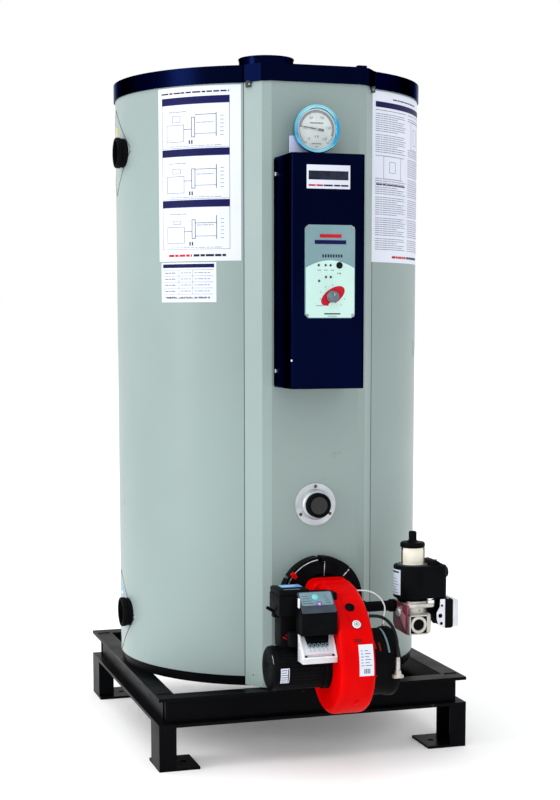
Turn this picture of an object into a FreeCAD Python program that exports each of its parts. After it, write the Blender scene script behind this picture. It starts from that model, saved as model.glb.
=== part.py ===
import FreeCAD, Part
import math
import os
import Sketcher

# Floor-standing vertical hot-water boiler on a welded steel stand, with a gas
# burner and its gas train on the front.  Millimetres.  +Z is up, the front
# faces -Y and the origin is on the floor, on the axis of the round jacket.

doc = FreeCAD.newDocument("industrial_boiler")

# ---------------------------------------------------------------- dimensions

SIZES = [
    # stand
    ("frame_half_width", "=jacket_radius + 5", "centre to the outer edge of the side beams"),
    ("frame_front", "=jacket_radius + 34", "jacket axis to the outer edge of the front beam"),
    ("frame_rear", "=jacket_radius + 34", "jacket axis to the outer edge of the rear beam"),
    ("frame_top", 160, "floor to the top of the beams"),
    ("beam_height", 65, "height of an I-beam"),
    ("beam_flange", 42, "flange width of an I-beam"),
    ("beam_flange_thickness", 7, "flange thickness"),
    ("beam_web_thickness", 6, "web thickness"),
    ("leg_width", 38, "leg across the stand"),
    ("leg_depth", 80, "leg along the stand"),
    ("leg_wall", 6, "wall of the leg channel"),
    ("foot_width", 90, "foot plate across the stand"),
    ("foot_depth", 100, "foot plate along the stand"),
    ("foot_thickness", 6, "foot plate thickness"),
    ("foot_hole", 14, "anchor hole diameter"),
    ("foot_hole_inset", 26, "anchor hole centre from the plate's inner edge"),
    # vessel base and jacket
    ("base_radius", "=jacket_radius - 4", "radius of the base plate"),
    ("jacket_bottom", "=frame_top + 22", "floor to the underside of the jacket"),
    ("jacket_top", 1491, "floor to the top of the jacket panels"),
    ("jacket_radius", 350, "outer radius of the round jacket"),
    ("jacket_thickness", 50, "sheet with its insulation"),
    ("panel_gap", 1, "gap between neighbouring jacket panels"),
    # front panel, which stands proud of the round jacket
    ("seam_half_width", 145, "centre to the front panel's side seams"),
    ("shoulder_half_width", 117, "centre to the front panel's shoulders"),
    ("shoulder_depth", "=jacket_radius + 7", "axis to the shoulders"),
    ("face_half_width", 98, "half width of the flat front face"),
    ("face_depth", "=jacket_radius + 15", "axis to the flat front face"),
    ("panel_inner_depth", "=jacket_radius - 60", "axis to the inner side of the front panel"),
    ("panel_drop", 19, "how far the front panel hangs below the jacket"),
    ("base_clearance", 1, "front panel skirt to the base plate"),
    # lid and flue collar
    ("lid_lap", 33, "how far the lid's skirt laps over the jacket"),
    ("lid_sheet", 3, "lid sheet thickness"),
    ("lid_clearance", 0.5, "lid skirt to the jacket"),
    ("flue_radius", 63.5, "outer radius of the flue collar"),
    ("flue_wall", 3, "wall of the flue collar"),
    ("flue_height", 67, "flue collar above the lid"),
    ("flue_depth", 60, "flue collar below the lid"),
    ("flue_clearance", 0.5, "flue collar to its hole in the lid"),
    # control box
    ("box_left", 93, "centre to the left side of the control box"),
    ("box_right", 67.5, "centre to the right side of the control box"),
    ("box_depth", 123, "control box, front to back"),
    ("box_bottom", "=(jacket_top + 147) / 2", "floor to the underside of the control box"),
    ("box_height", "=jacket_top - 191 - box_bottom", "height of the control box"),
    ("plate_offset", 11, "control plate centre, left of the boiler's centre"),
    ("plate_width", 108, "control plate width"),
    ("plate_height", 190, "control plate height"),
    ("plate_bottom", "=box_bottom + 146", "floor to the control plate's lower edge"),
    ("plate_thickness", 4, "control plate thickness"),
    ("plate_corner", 7, "clipped corners of the control plate"),
    ("knob_x", -6, "temperature knob axis, measured to the right of the boiler's centre"),
    ("knob_z", "=plate_bottom + 44", "floor to the axis of the temperature knob"),
    ("knob_radius", 12, "temperature knob radius"),
    ("knob_height", 15, "temperature knob height"),
    ("knob_clearance", 0.5, "knob to the control plate"),
    ("spindle_radius", 3, "knob spindle radius"),
    ("spindle_length", 14, "knob spindle behind the plate's face"),
    ("spindle_clearance", 0.5, "spindle to its hole"),
    # thermometer
    ("dial_x", 12, "dial centre, left of the boiler's centre"),
    ("dial_z", "=box_bottom + box_height + 57", "floor to the dial centre"),
    ("dial_radius", 50.5, "outer radius of the dial case"),
    ("dial_depth", 22, "depth of the dial case"),
    ("dial_standoff", 24, "front panel to the back of the dial case"),
    ("dial_rim", 8.5, "width of the dial's rim"),
    ("dial_recess", 6, "rim front to the dial face"),
    ("dial_glass", 2, "dial glass thickness"),
    ("dial_glass_inset", 1.5, "rim front to the dial glass"),
    ("dial_stem_radius", 9, "dial stem radius"),
    ("bracket_left", 66, "centre to the dial bracket's left edge"),
    ("bracket_width", 44, "dial bracket width"),
    ("bracket_height", 44, "dial bracket height"),
    ("bracket_thickness", 2.5, "dial bracket sheet thickness"),
    ("bracket_foot", 14, "length of the bracket's foot on the control box"),
    # sight port
    ("sight_z", "=burner_z + 203", "floor to the sight port's centre"),
    ("sight_flange_radius", 46, "sight port flange radius"),
    ("sight_flange_thickness", 3, "sight port flange thickness"),
    ("sight_tube_radius", 27, "sight port housing radius"),
    ("sight_tube_length", 30, "sight port housing length"),
    ("sight_bore_radius", 19, "sight port bore radius"),
    ("sight_glass_inset", 4, "housing front to the glass"),
    ("sight_glass_thickness", 4, "sight glass thickness"),
    # water ports
    ("port_y", 40, "water port axes, in front of the jacket axis"),
    ("port_upper_z", "=jacket_top - 158", "floor to the flow port"),
    ("port_lower_z", 287, "floor to the return port"),
    ("port_radius", 32, "outer radius of a water port"),
    ("port_bore_radius", 28, "bore radius of a water port"),
    ("port_reach", "=jacket_radius + 16", "centre to the outer end of a water port"),
    ("port_inner", "=jacket_radius - jacket_thickness - 10", "centre to the inner end of a water port"),
    ("port_clearance", 0.5, "water port to its hole in the jacket"),
    # burner
    ("burner_x", 8, "burner tube axis, right of the boiler's centre"),
    ("burner_z", 360, "floor to the burner tube axis"),
    ("flange_radius", 91, "burner flange radius"),
    ("flange_thickness", 32, "burner flange thickness"),
    ("tube_radius", 55, "burner tube outer radius"),
    ("tube_wall", 4, "burner tube wall"),
    ("tube_reach", 130, "burner tube behind the flat front face"),
    ("tube_clearance", 0.5, "burner tube to its hole"),
    ("neck_left", 30, "centre to the burner neck's left side"),
    ("neck_right", 62, "centre to the burner neck's right side"),
    ("neck_above", 46, "burner neck above the burner tube axis"),
    ("neck_below", 50, "burner neck below the burner tube axis"),
    ("neck_length", 45, "burner neck length"),
    ("neck_corner", 20, "rounding of the burner neck's corners"),
    ("fan_y", "=face_depth + 125", "jacket axis to the fan axis"),
    ("fan_z", "=burner_z - 124", "floor to the fan axis"),
    ("fan_radius", 106, "scroll radius about the fan axis"),
    ("volute_growth", 0.19, "growth of the scroll's radius with the square of its angle"),
    ("volute_sweep", 110, "angle over which the scroll grows, in degrees"),
    ("scroll_left", 18, "centre to the scroll's left side"),
    ("scroll_right", 60, "centre to the scroll's right side"),
    ("motor_radius", 47, "motor radius"),
    ("motor_length", 100, "motor length"),
    ("motor_flange_radius", 50, "motor flange radius"),
    ("motor_flange_thickness", 14, "motor flange thickness"),
    ("motor_cap_length", 14, "motor end cap length"),
    ("intake_radius", 74, "air intake radius"),
    ("intake_length", 66, "air intake length"),
    ("ignition_left", 131, "centre to the ignition box's left side"),
    ("ignition_width", 68, "ignition box width"),
    ("ignition_near", "=fan_y + 36", "jacket axis to the ignition box's front"),
    ("ignition_depth", 72, "ignition box, front to back"),
    ("ignition_bottom", "=burner_z - 9", "floor to the ignition box's underside"),
    ("ignition_height", 55, "ignition box height"),
    ("control_width", 78, "burner control width"),
    ("control_near", "=fan_y + 78", "jacket axis to the burner control's front"),
    ("control_depth", 42, "burner control, front to back"),
    ("control_height", 85, "burner control height at its back"),
    ("control_slope", 38, "drop of the burner control's face"),
    ("terminal_width", 78, "terminal box width"),
    ("terminal_near", "=fan_y + 82", "jacket axis to the terminal box's front"),
    ("terminal_depth", 35, "terminal box, front to back"),
    ("terminal_bottom", "=burner_z - 102", "floor to the terminal box's underside"),
    ("terminal_height", 58, "terminal box height at its back"),
    ("terminal_slope", 48, "drop of the terminal box's face"),
    # gas train
    ("gas_y", "=face_depth + 81", "jacket axis to the gas valve's centre"),
    ("pipe_y", "=face_depth + 50", "jacket axis to the gas pipe"),
    ("pipe_z", "=burner_z - 20", "floor to the gas pipe"),
    ("gas_pipe_radius", 11.3, "gas pipe outer radius"),
    ("gas_pipe_wall", 2.65, "gas pipe wall"),
    ("gas_boss_radius", 16, "gas boss radius on the burner neck"),
    ("gas_boss_end", "=scroll_right + 28", "centre to the end of the gas boss"),
    ("valve_left", "=gas_boss_end + 80", "centre to the gas valve body's left side"),
    ("valve_width", 66, "gas valve body width"),
    ("valve_depth", 88, "gas valve body, front to back"),
    ("valve_bottom", "=pipe_z - 54", "floor to the gas valve body's underside"),
    ("valve_height", 68, "gas valve body height"),
    ("inlet_x", "=valve_left + 23.5", "centre to the gas inlet's axis"),
    ("inlet_z", "=valve_bottom + 24", "floor to the gas inlet's axis"),
    ("inlet_side", 43, "side of the square gas inlet flange"),
    ("inlet_thickness", 8, "gas inlet flange thickness"),
    ("inlet_bore_radius", 12, "gas inlet bore radius"),
    ("inlet_bore_depth", 40, "gas inlet bore depth"),
    ("coil_x", "=valve_left + 28", "centre to the coil's axis"),
    ("coil_radius", 41, "coil housing radius"),
    ("coil_right", "=valve_left + 97", "centre to the coil housing's right side"),
    ("coil_depth", 70, "coil housing's right part, front to back"),
    ("coil_height", 80, "coil housing height"),
    ("coil_collar_radius", 31, "radius of the collar under the coil housing"),
    ("coil_collar_height", 9, "height of the collar under the coil housing"),
    ("damper_radius", 25, "damper cylinder radius"),
    ("damper_height", 38, "damper cylinder height"),
    ("damper_cap_radius", 27, "damper cap radius"),
    ("damper_cap_height", 12, "damper cap height"),
    ("damper_knob_radius", 8.5, "damper cap's knob radius"),
    ("damper_knob_height", 23, "damper cap's knob height"),
    ("switch_left", "=valve_left + valve_width + 12", "centre to the pressure switch's left side"),
    ("switch_base", 31, "pressure switch body width"),
    ("switch_cover", 14, "pressure switch cover width"),
    ("switch_near", "=gas_y + 40", "jacket axis to the pressure switch's front"),
    ("switch_depth", 72, "pressure switch, front to back"),
    ("switch_bottom", "=valve_bottom + 10", "floor to the pressure switch's underside"),
    ("switch_height", 65, "pressure switch height"),
    # conduit and sensing tube
    ("conduit_radius", 3.5, "outer radius of the black conduit"),
    ("sensing_radius", 1.6, "outer radius of the sensing tube"),
    ("fitting_left", "=scroll_right + 44", "centre to the conduit fitting's left side"),
    ("fitting_width", 22, "conduit fitting width"),
    ("fitting_seat", "=fan_y + intake_radius", "jacket axis to the fitting's seat on the air intake"),
    ("fitting_depth", 16, "conduit fitting, front to back"),
    ("fitting_bottom", "=fan_z - 20", "floor to the conduit fitting's underside"),
    ("fitting_height", 16, "conduit fitting height"),
    ("nipple_x", "=scroll_right + 60", "centre to the sensing nipple"),
    ("nipple_near", "=fan_y - 19", "jacket axis to the sensing nipple"),
    ("nipple_radius", 4, "sensing nipple radius"),
    ("nipple_top", "=fan_z + 76", "floor to the top of the sensing nipple"),
]

sheet = doc.addObject("Spreadsheet::Sheet", "sizes")
for row, (alias, value, note) in enumerate(SIZES, start=1):
    sheet.set("A%d" % row, alias.replace("_", " "))
    sheet.set("C%d" % row, note)
    sheet.setAlias("B%d" % row, alias)
for row, (alias, value, note) in enumerate(SIZES, start=1):
    sheet.set("B%d" % row, str(value))
doc.recompute()

ALIASES = {alias for alias, value, note in SIZES}
PARTS = []


def size(alias):
    """The present value of one named size."""
    return float(sheet.get(alias))


def formula(text):
    """Turn plain size names in a formula into references to the sheet."""
    words = []
    word = ""
    for letter in text + " ":
        if letter.isalnum() or letter == "_":
            word += letter
            continue
        words.append("sizes." + word if word in ALIASES else word)
        words.append(letter)
        word = ""
    return "".join(words).strip()


def bind(thing, prop, text):
    """Bind one property to a formula of named sizes."""
    thing.setExpression(prop, formula(text))


# -------------------------------------------------------------- body helpers


def new_body(label):
    body = doc.addObject("PartDesign::Body", label)
    body.Label = label
    PARTS.append(body)
    return body


def new_sketch(body, plane, offset="0"):
    """A sketch on one of the body's own origin planes, moved along its normal."""
    sketch = body.newObject("Sketcher::SketchObject", body.Label + "_sketch")
    origin_plane = next(f for f in body.Origin.OriginFeatures if f.Role == plane)
    sketch.AttachmentSupport = [(origin_plane, "")]
    sketch.MapMode = "FlatFace"
    bind(sketch, "AttachmentOffset.Base.z", offset)
    return sketch


def fix_point(sketch, geometry, point, across, up, name):
    """Hold one sketch point at two formulas, measured from the origin."""
    for kind, axis_id, place in (("X", -2, across), ("Y", -1, up)):
        if place == "0":
            sketch.addConstraint(Sketcher.Constraint("PointOnObject", geometry, point, axis_id))
            continue
        here = sketch.getPoint(geometry, point)
        now = here.x if kind == "X" else here.y
        constraint = Sketcher.Constraint("Distance" + kind, -1, 1, geometry, point, now)
        index = sketch.addConstraint(constraint)
        sketch.renameConstraint(index, name + kind.lower())
        bind(sketch, "Constraints." + name + kind.lower(), place)


def evaluate(text):
    """Number that a formula gives now, used to draw a sketch near its place."""
    return float(sheet.evalExpression(formula(text)))


def draw_polygon(sketch, points):
    """A closed outline whose corners sit at pairs of formulas."""
    spots = [FreeCAD.Vector(evaluate(x), evaluate(y), 0) for x, y in points]
    first = sketch.GeometryCount
    count = len(spots)
    for i in range(count):
        sketch.addGeometry(Part.LineSegment(spots[i], spots[(i + 1) % count]), False)
    for i in range(count):
        after = first + (i + 1) % count
        sketch.addConstraint(Sketcher.Constraint("Coincident", first + i, 2, after, 1))
    for i, (across, up) in enumerate(points):
        fix_point(sketch, first + i, 1, across, up, "p%d" % i)


def draw_rectangle(sketch, left, right, low, high):
    draw_polygon(sketch, [(left, low), (right, low), (right, high), (left, high)])


def draw_circle(sketch, across, up, radius, name="c"):
    centre = FreeCAD.Vector(evaluate(across), evaluate(up), 0)
    circle = Part.Circle(centre, FreeCAD.Vector(0, 0, 1), evaluate(radius))
    index = sketch.addGeometry(circle, False)
    fix_point(sketch, index, 3, across, up, name)
    held = sketch.addConstraint(Sketcher.Constraint("Radius", index, evaluate(radius)))
    sketch.renameConstraint(held, name + "r")
    bind(sketch, "Constraints." + name + "r", radius)


def pad(body, sketch, length, backwards=False):
    feature = body.newObject("PartDesign::Pad", body.Label + "_pad")
    feature.Profile = sketch
    feature.Reversed = backwards
    bind(feature, "Length", length)
    doc.recompute()
    return feature


def pocket(body, sketch, length, backwards=False):
    """Cut a pocket, and make sure that it took something away."""
    before = body.Shape.Volume
    feature = body.newObject("PartDesign::Pocket", body.Label + "_pocket")
    feature.Profile = sketch
    feature.Reversed = backwards
    bind(feature, "Length", length)
    doc.recompute()
    if not body.Shape.Volume < before - 1e-3:
        raise ValueError(body.Label + ": a pocket cut nothing")
    return feature


def revolve(body, sketch, axis="V_Axis", angle="360"):
    feature = body.newObject("PartDesign::Revolution", body.Label + "_revolution")
    feature.Profile = sketch
    feature.ReferenceAxis = (sketch, [axis])
    bind(feature, "Angle", angle)
    doc.recompute()
    return feature


def block(body, left, right, near, far, low, high):
    """Add a rectangular block; near and far are measured along Y."""
    sketch = new_sketch(body, "XY_Plane", low)
    draw_rectangle(sketch, left, right, near, far)
    return pad(body, sketch, "(%s) - (%s)" % (high, low))


def front_disc(body, across, up, radius, back, front):
    """Add a disc on a Y axis; back and front are depths in front of the axis."""
    sketch = new_sketch(body, "XZ_Plane", back)
    draw_circle(sketch, across, up, radius)
    return pad(body, sketch, "(%s) - (%s)" % (front, back))


def front_bore(body, across, up, radius, back, front):
    """Cut a round hole on a Y axis between two depths."""
    sketch = new_sketch(body, "XZ_Plane", front)
    draw_circle(sketch, across, up, radius)
    return pocket(body, sketch, "(%s) - (%s)" % (front, back))


def side_disc(body, near, up, radius, left, right):
    """Add a disc on an X axis; near is its depth in front of the jacket axis."""
    sketch = new_sketch(body, "YZ_Plane", left)
    draw_circle(sketch, "-(%s)" % near, up, radius)
    return pad(body, sketch, "(%s) - (%s)" % (right, left))


def side_bore(body, near, up, radius, left, right):
    """Cut a round hole on an X axis between two places."""
    sketch = new_sketch(body, "YZ_Plane", right)
    draw_circle(sketch, "-(%s)" % near, up, radius)
    return pocket(body, sketch, "(%s) - (%s)" % (right, left))


def top_disc(body, across, near, radius, low, high):
    """Add a disc on a Z axis."""
    sketch = new_sketch(body, "XY_Plane", low)
    draw_circle(sketch, across, "-(%s)" % near if near != "0" else "0", radius)
    return pad(body, sketch, "(%s) - (%s)" % (high, low))


def top_bore(body, across, near, radius, low, high):
    """Cut a round hole on a Z axis between two heights."""
    sketch = new_sketch(body, "XY_Plane", high)
    draw_circle(sketch, across, "-(%s)" % near if near != "0" else "0", radius)
    return pocket(body, sketch, "(%s) - (%s)" % (high, low))


# --------------------------------------------------------------------- stand

FRAME_LOW = "frame_top - beam_height"
WEB_SET = "(beam_flange - beam_web_thickness) / 2"


def cross_beam(label, outer, inward):
    """Beam across the stand; its flanges run the full width."""
    body = new_body(label)
    edge = [outer, "%s %s beam_flange" % (outer, inward)]
    web = ["%s %s %s" % (outer, inward, WEB_SET)]
    web.append("%s %s beam_web_thickness" % (web[0], inward))
    if inward == "-":
        edge.reverse()
        web.reverse()
    low = FRAME_LOW
    block(body, "-frame_half_width", "frame_half_width", edge[0], edge[1],
          low, low + " + beam_flange_thickness")
    block(body, "-frame_half_width + " + WEB_SET, "frame_half_width - " + WEB_SET,
          web[0], web[1], low, "frame_top")
    block(body, "-frame_half_width", "frame_half_width", edge[0], edge[1],
          "frame_top - beam_flange_thickness", "frame_top")


def side_beam(label, side):
    """Beam along one side, butted between the two cross beams."""
    body = new_body(label)
    edge = ["-frame_half_width", "-frame_half_width + beam_flange"]
    web = ["-frame_half_width + " + WEB_SET]
    web.append(web[0] + " + beam_web_thickness")
    if side > 0:
        edge = ["frame_half_width - beam_flange", "frame_half_width"]
        web = ["frame_half_width - %s - beam_web_thickness" % WEB_SET]
        web.append("frame_half_width - " + WEB_SET)
    near = "-frame_front + beam_flange"
    far = "frame_rear - beam_flange"
    low = FRAME_LOW
    block(body, edge[0], edge[1], near, far, low, low + " + beam_flange_thickness")
    block(body, web[0], web[1], near, far, low, "frame_top")
    block(body, edge[0], edge[1], near, far,
          "frame_top - beam_flange_thickness", "frame_top")


def leg(label, side, front):
    """Channel leg with its web outward, welded to a foot plate with one hole."""
    body = new_body(label)

    def across(inset):
        return "-frame_half_width + " + inset if side < 0 else "frame_half_width - (%s)" % inset

    def along(inset):
        return "-frame_front + " + inset if front else "frame_rear - (%s)" % inset

    def plate(inset_x, width, inset_y, depth, low, high):
        xs = [across(inset_x), across("%s + %s" % (inset_x, width))]
        ys = [along(inset_y), along("%s + %s" % (inset_y, depth))]
        if side > 0:
            xs.reverse()
        if not front:
            ys.reverse()
        block(body, xs[0], xs[1], ys[0], ys[1], low, high)

    plate("0", "foot_width", "0", "foot_depth", "0", "foot_thickness")
    plate("0", "leg_wall", "0", "leg_depth", "0", FRAME_LOW)
    plate("0", "leg_width", "0", "leg_wall", "0", FRAME_LOW)
    plate("0", "leg_width", "leg_depth - leg_wall", "leg_wall", "0", FRAME_LOW)
    sketch = new_sketch(body, "XY_Plane", "foot_thickness")
    draw_circle(sketch, across("foot_width - foot_hole_inset"),
                along("foot_depth / 2"), "foot_hole / 2")
    pocket(body, sketch, "foot_thickness")


cross_beam("frame_front_beam", "-frame_front", "+")
cross_beam("frame_rear_beam", "frame_rear", "-")
side_beam("frame_left_beam", -1)
side_beam("frame_right_beam", 1)
for end, is_front in (("front", True), ("rear", False)):
    for flank, sign in (("left", -1), ("right", 1)):
        leg("leg_%s_%s" % (end, flank), sign, is_front)

# ------------------------------------------------------------ base and jacket

base_plate = new_body("base_plate")
top_disc(base_plate, "0", "0", "base_radius", "frame_top", "jacket_bottom")


SEAM_ANGLE = "asin(seam_half_width / jacket_radius) / 1deg"
GAP_ANGLE = "panel_gap / jacket_radius * 180 / pi"


def jacket_panel(label, plane, side, sweep):
    """Round jacket panel, half its sweep to each side of the plane it is drawn on."""
    body = new_body(label)
    sketch = new_sketch(body, plane)
    inner = "jacket_radius - jacket_thickness"
    outer = "jacket_radius"
    if side < 0:
        inner, outer = "-jacket_radius", "-jacket_radius + jacket_thickness"
    draw_rectangle(sketch, inner, outer, "jacket_bottom", "jacket_top")
    feature = revolve(body, sketch, "V_Axis", sweep)
    feature.Midplane = True
    doc.recompute()
    return body


SIDE_SWEEP = "180 - 2 * %s - 2 * %s" % (SEAM_ANGLE, GAP_ANGLE)
jacket_panel("jacket_right", "XZ_Plane", 1, SIDE_SWEEP)
jacket_panel("jacket_rear", "YZ_Plane", 1, "2 * " + SEAM_ANGLE)
jacket_left = jacket_panel("jacket_left", "XZ_Plane", -1, SIDE_SWEEP)
for height in ("port_upper_z", "port_lower_z"):
    side_bore(jacket_left, "port_y", height, "port_radius + port_clearance",
              "-jacket_radius - 1", "-port_inner + 1")


def nose_outline(grow, inner):
    """Plan of the proud front panel, grown outward and closed at an inner depth."""
    seam_y = "(sqrt(jacket_radius ^ 2 - seam_half_width ^ 2) + %s)" % grow
    seam_x = "(seam_half_width + %s)" % grow
    inner_x = "(%s * %s / %s)" % (seam_x, inner, seam_y)
    shoulder_x = "(shoulder_half_width + %s)" % grow
    shoulder_y = "-(shoulder_depth + %s)" % grow
    face_x = "(face_half_width + %s / 2)" % grow
    face_y = "-(face_depth + %s)" % grow
    left = [(inner_x, "-" + inner), (seam_x, "-" + seam_y),
            (shoulder_x, shoulder_y), (face_x, face_y)]
    points = [("-" + x, y) for x, y in left]
    points += [(x, y) for x, y in reversed(left)]
    return points


front_panel = new_body("front_panel")
sketch = new_sketch(front_panel, "XY_Plane", "jacket_bottom - panel_drop")
draw_polygon(sketch, nose_outline("0", "panel_inner_depth"))
pad(front_panel, sketch, "jacket_top - jacket_bottom + panel_drop")
top_bore(front_panel, "0", "0", "base_radius + base_clearance",
         "jacket_bottom - panel_drop - 1", "jacket_bottom")
front_bore(front_panel, "burner_x", "burner_z", "tube_radius + tube_clearance",
           "panel_inner_depth - 1", "face_depth")
front_bore(front_panel, "0", "sight_z", "sight_bore_radius",
           "panel_inner_depth - 1", "face_depth")

# ------------------------------------------------------------- lid and flue

LID_LOW = "jacket_top - lid_lap"
LID_TOP = "jacket_top + lid_sheet"
LID_GROW = "(lid_clearance + lid_sheet)"

top_cap = new_body("top_cap")
top_disc(top_cap, "0", "0", "jacket_radius + lid_clearance + lid_sheet", LID_LOW, LID_TOP)
sketch = new_sketch(top_cap, "XY_Plane", LID_LOW)
draw_polygon(sketch, nose_outline(LID_GROW, "panel_inner_depth"))
pad(top_cap, sketch, LID_TOP + " - (" + LID_LOW + ")")
top_bore(top_cap, "0", "0", "jacket_radius + lid_clearance", LID_LOW, "jacket_top")
sketch = new_sketch(top_cap, "XY_Plane", "jacket_top")
draw_polygon(sketch, nose_outline("lid_clearance", "(panel_inner_depth - 10)"))
pocket(top_cap, sketch, "lid_lap")
top_bore(top_cap, "0", "0", "flue_radius + flue_clearance", "jacket_top", LID_TOP)

flue_collar = new_body("flue_collar")
top_disc(flue_collar, "0", "0", "flue_radius",
         LID_TOP + " - flue_depth", LID_TOP + " + flue_height")
top_disc(flue_collar, "0", "0", "flue_radius + 6", LID_TOP, LID_TOP + " + lid_sheet")
top_bore(flue_collar, "0", "0", "flue_radius - flue_wall",
         LID_TOP + " - flue_depth", LID_TOP + " + flue_height")

# -------------------------------------------------------------- control box

BOX_FRONT = "face_depth + box_depth"
BOX_TOP = "box_bottom + box_height"
PLATE_FRONT = "face_depth + box_depth + plate_thickness"

control_box = new_body("control_box")
sketch = new_sketch(control_box, "XZ_Plane", "face_depth")
draw_rectangle(sketch, "-box_left", "box_right", "box_bottom", BOX_TOP)
pad(control_box, sketch, "box_depth")
front_bore(control_box, "knob_x", "knob_z", "spindle_radius + spindle_clearance",
           PLATE_FRONT + " - spindle_length - 1", BOX_FRONT)

control_plate = new_body("control_plate")
sketch = new_sketch(control_plate, "XZ_Plane", BOX_FRONT)
PLATE_L = "(-plate_offset - plate_width / 2)"
PLATE_R = "(-plate_offset + plate_width / 2)"
PLATE_T = "(plate_bottom + plate_height)"
draw_polygon(sketch, [
    (PLATE_L + " + plate_corner", "plate_bottom"),
    (PLATE_R + " - plate_corner", "plate_bottom"),
    (PLATE_R, "plate_bottom + plate_corner"),
    (PLATE_R, PLATE_T + " - plate_corner"),
    (PLATE_R + " - plate_corner", PLATE_T),
    (PLATE_L + " + plate_corner", PLATE_T),
    (PLATE_L, PLATE_T + " - plate_corner"),
    (PLATE_L, "plate_bottom + plate_corner"),
])
pad(control_plate, sketch, "plate_thickness")
front_bore(control_plate, "knob_x", "knob_z", "spindle_radius + spindle_clearance",
           BOX_FRONT, PLATE_FRONT)

temperature_knob = new_body("temperature_knob")
KNOB_BACK = PLATE_FRONT + " + knob_clearance"
front_disc(temperature_knob, "knob_x", "knob_z", "spindle_radius",
           PLATE_FRONT + " - spindle_length", KNOB_BACK)
front_disc(temperature_knob, "knob_x", "knob_z", "knob_radius",
           KNOB_BACK, KNOB_BACK + " + knob_height")

# -------------------------------------------------------------- thermometer

DIAL_BACK = "face_depth + dial_standoff"
DIAL_FRONT = DIAL_BACK + " + dial_depth"

thermometer_case = new_body("thermometer_case")
front_disc(thermometer_case, "-dial_x", "dial_z", "dial_radius", DIAL_BACK, DIAL_FRONT)
front_disc(thermometer_case, "-dial_x", "dial_z", "dial_stem_radius", "face_depth", DIAL_BACK)
front_bore(thermometer_case, "-dial_x", "dial_z", "dial_radius - dial_rim",
           DIAL_FRONT + " - dial_recess", DIAL_FRONT)

thermometer_glass = new_body("thermometer_glass")
front_disc(thermometer_glass, "-dial_x", "dial_z", "dial_radius - dial_rim",
           DIAL_FRONT + " - dial_glass_inset - dial_glass", DIAL_FRONT + " - dial_glass_inset")

thermometer_bracket = new_body("thermometer_bracket")
BRACKET_BACK = DIAL_BACK + " - bracket_thickness"
block(thermometer_bracket, "-bracket_left", "-bracket_left + bracket_width",
      "-(%s)" % DIAL_BACK, "-(%s)" % BRACKET_BACK, BOX_TOP, BOX_TOP + " + bracket_height")
block(thermometer_bracket, "-bracket_left", "-bracket_left + bracket_width",
      "-(%s)" % DIAL_BACK, "-(%s) + bracket_foot" % DIAL_BACK,
      BOX_TOP, BOX_TOP + " + bracket_thickness")

# --------------------------------------------------------------- sight port

SIGHT_BACK = "face_depth + sight_flange_thickness"
SIGHT_FRONT = SIGHT_BACK + " + sight_tube_length"

sight_flange = new_body("sight_flange")
front_disc(sight_flange, "0", "sight_z", "sight_flange_radius", "face_depth", SIGHT_BACK)
front_bore(sight_flange, "0", "sight_z", "sight_bore_radius", "face_depth", SIGHT_BACK)

sight_housing = new_body("sight_housing")
front_disc(sight_housing, "0", "sight_z", "sight_tube_radius", SIGHT_BACK, SIGHT_FRONT)
front_bore(sight_housing, "0", "sight_z", "sight_bore_radius", SIGHT_BACK, SIGHT_FRONT)

sight_glass = new_body("sight_glass")
front_disc(sight_glass, "0", "sight_z", "sight_bore_radius",
           SIGHT_FRONT + " - sight_glass_inset - sight_glass_thickness",
           SIGHT_FRONT + " - sight_glass_inset")

# -------------------------------------------------------------- water ports

for label, height in (("water_port_upper", "port_upper_z"),
                      ("water_port_lower", "port_lower_z")):
    port = new_body(label)
    side_disc(port, "port_y", height, "port_radius", "-port_reach", "-port_inner")
    side_bore(port, "port_y", height, "port_bore_radius", "-port_reach", "-port_inner")

# ------------------------------------------------------------------- burner

FLANGE_FRONT = "face_depth + flange_thickness"

burner_flange = new_body("burner_flange")
front_disc(burner_flange, "burner_x", "burner_z", "flange_radius", "face_depth", FLANGE_FRONT)
front_bore(burner_flange, "burner_x", "burner_z", "tube_radius + tube_clearance",
           "face_depth", FLANGE_FRONT)

burner_tube = new_body("burner_tube")
front_disc(burner_tube, "burner_x", "burner_z", "tube_radius",
           "face_depth - tube_reach", FLANGE_FRONT)
front_bore(burner_tube, "burner_x", "burner_z", "tube_radius - tube_wall",
           "face_depth - tube_reach", FLANGE_FRONT)


def scroll_outline():
    """Side view of the fan scroll: a volute that leaves the neck and closes round the fan."""
    fan_y, fan_z, radius = size("fan_y"), size("fan_z"), size("fan_radius")
    back = size("face_depth") + size("flange_thickness")
    steps = 12

    def on_fan(angle):
        turn = math.radians(angle)
        reach = radius * (1 + size("volute_growth") * max(0, turn) ** 2)
        return FreeCAD.Vector(0, -fan_y - reach * math.cos(turn), fan_z + reach * math.sin(turn))

    volute = [on_fan(size("volute_sweep") * (steps - k) / steps) for k in range(steps + 1)]
    curve = Part.BSplineCurve()
    curve.interpolate(volute)
    heel = on_fan(-165)
    corner = FreeCAD.Vector(0, -back, heel.z)
    neck_back = FreeCAD.Vector(0, -back, volute[0].z)
    return Part.Wire([
        Part.LineSegment(neck_back, volute[0]).toShape(),
        curve.toShape(),
        Part.Arc(volute[-1], on_fan(-80), heel).toShape(),
        Part.LineSegment(heel, corner).toShape(),
        Part.LineSegment(corner, neck_back).toShape(),
    ])


def x_prism(wire, left, right):
    """Solid between two places on X, with the outline drawn in the YZ plane."""
    face = Part.Face(wire)
    face.translate(FreeCAD.Vector(left, 0, 0))
    return face.extrude(FreeCAD.Vector(right - left, 0, 0))


def x_cylinder(left, right, near, height, radius):
    base = FreeCAD.Vector(left, -near, height)
    return Part.makeCylinder(radius, right - left, base, FreeCAD.Vector(1, 0, 0))


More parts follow.
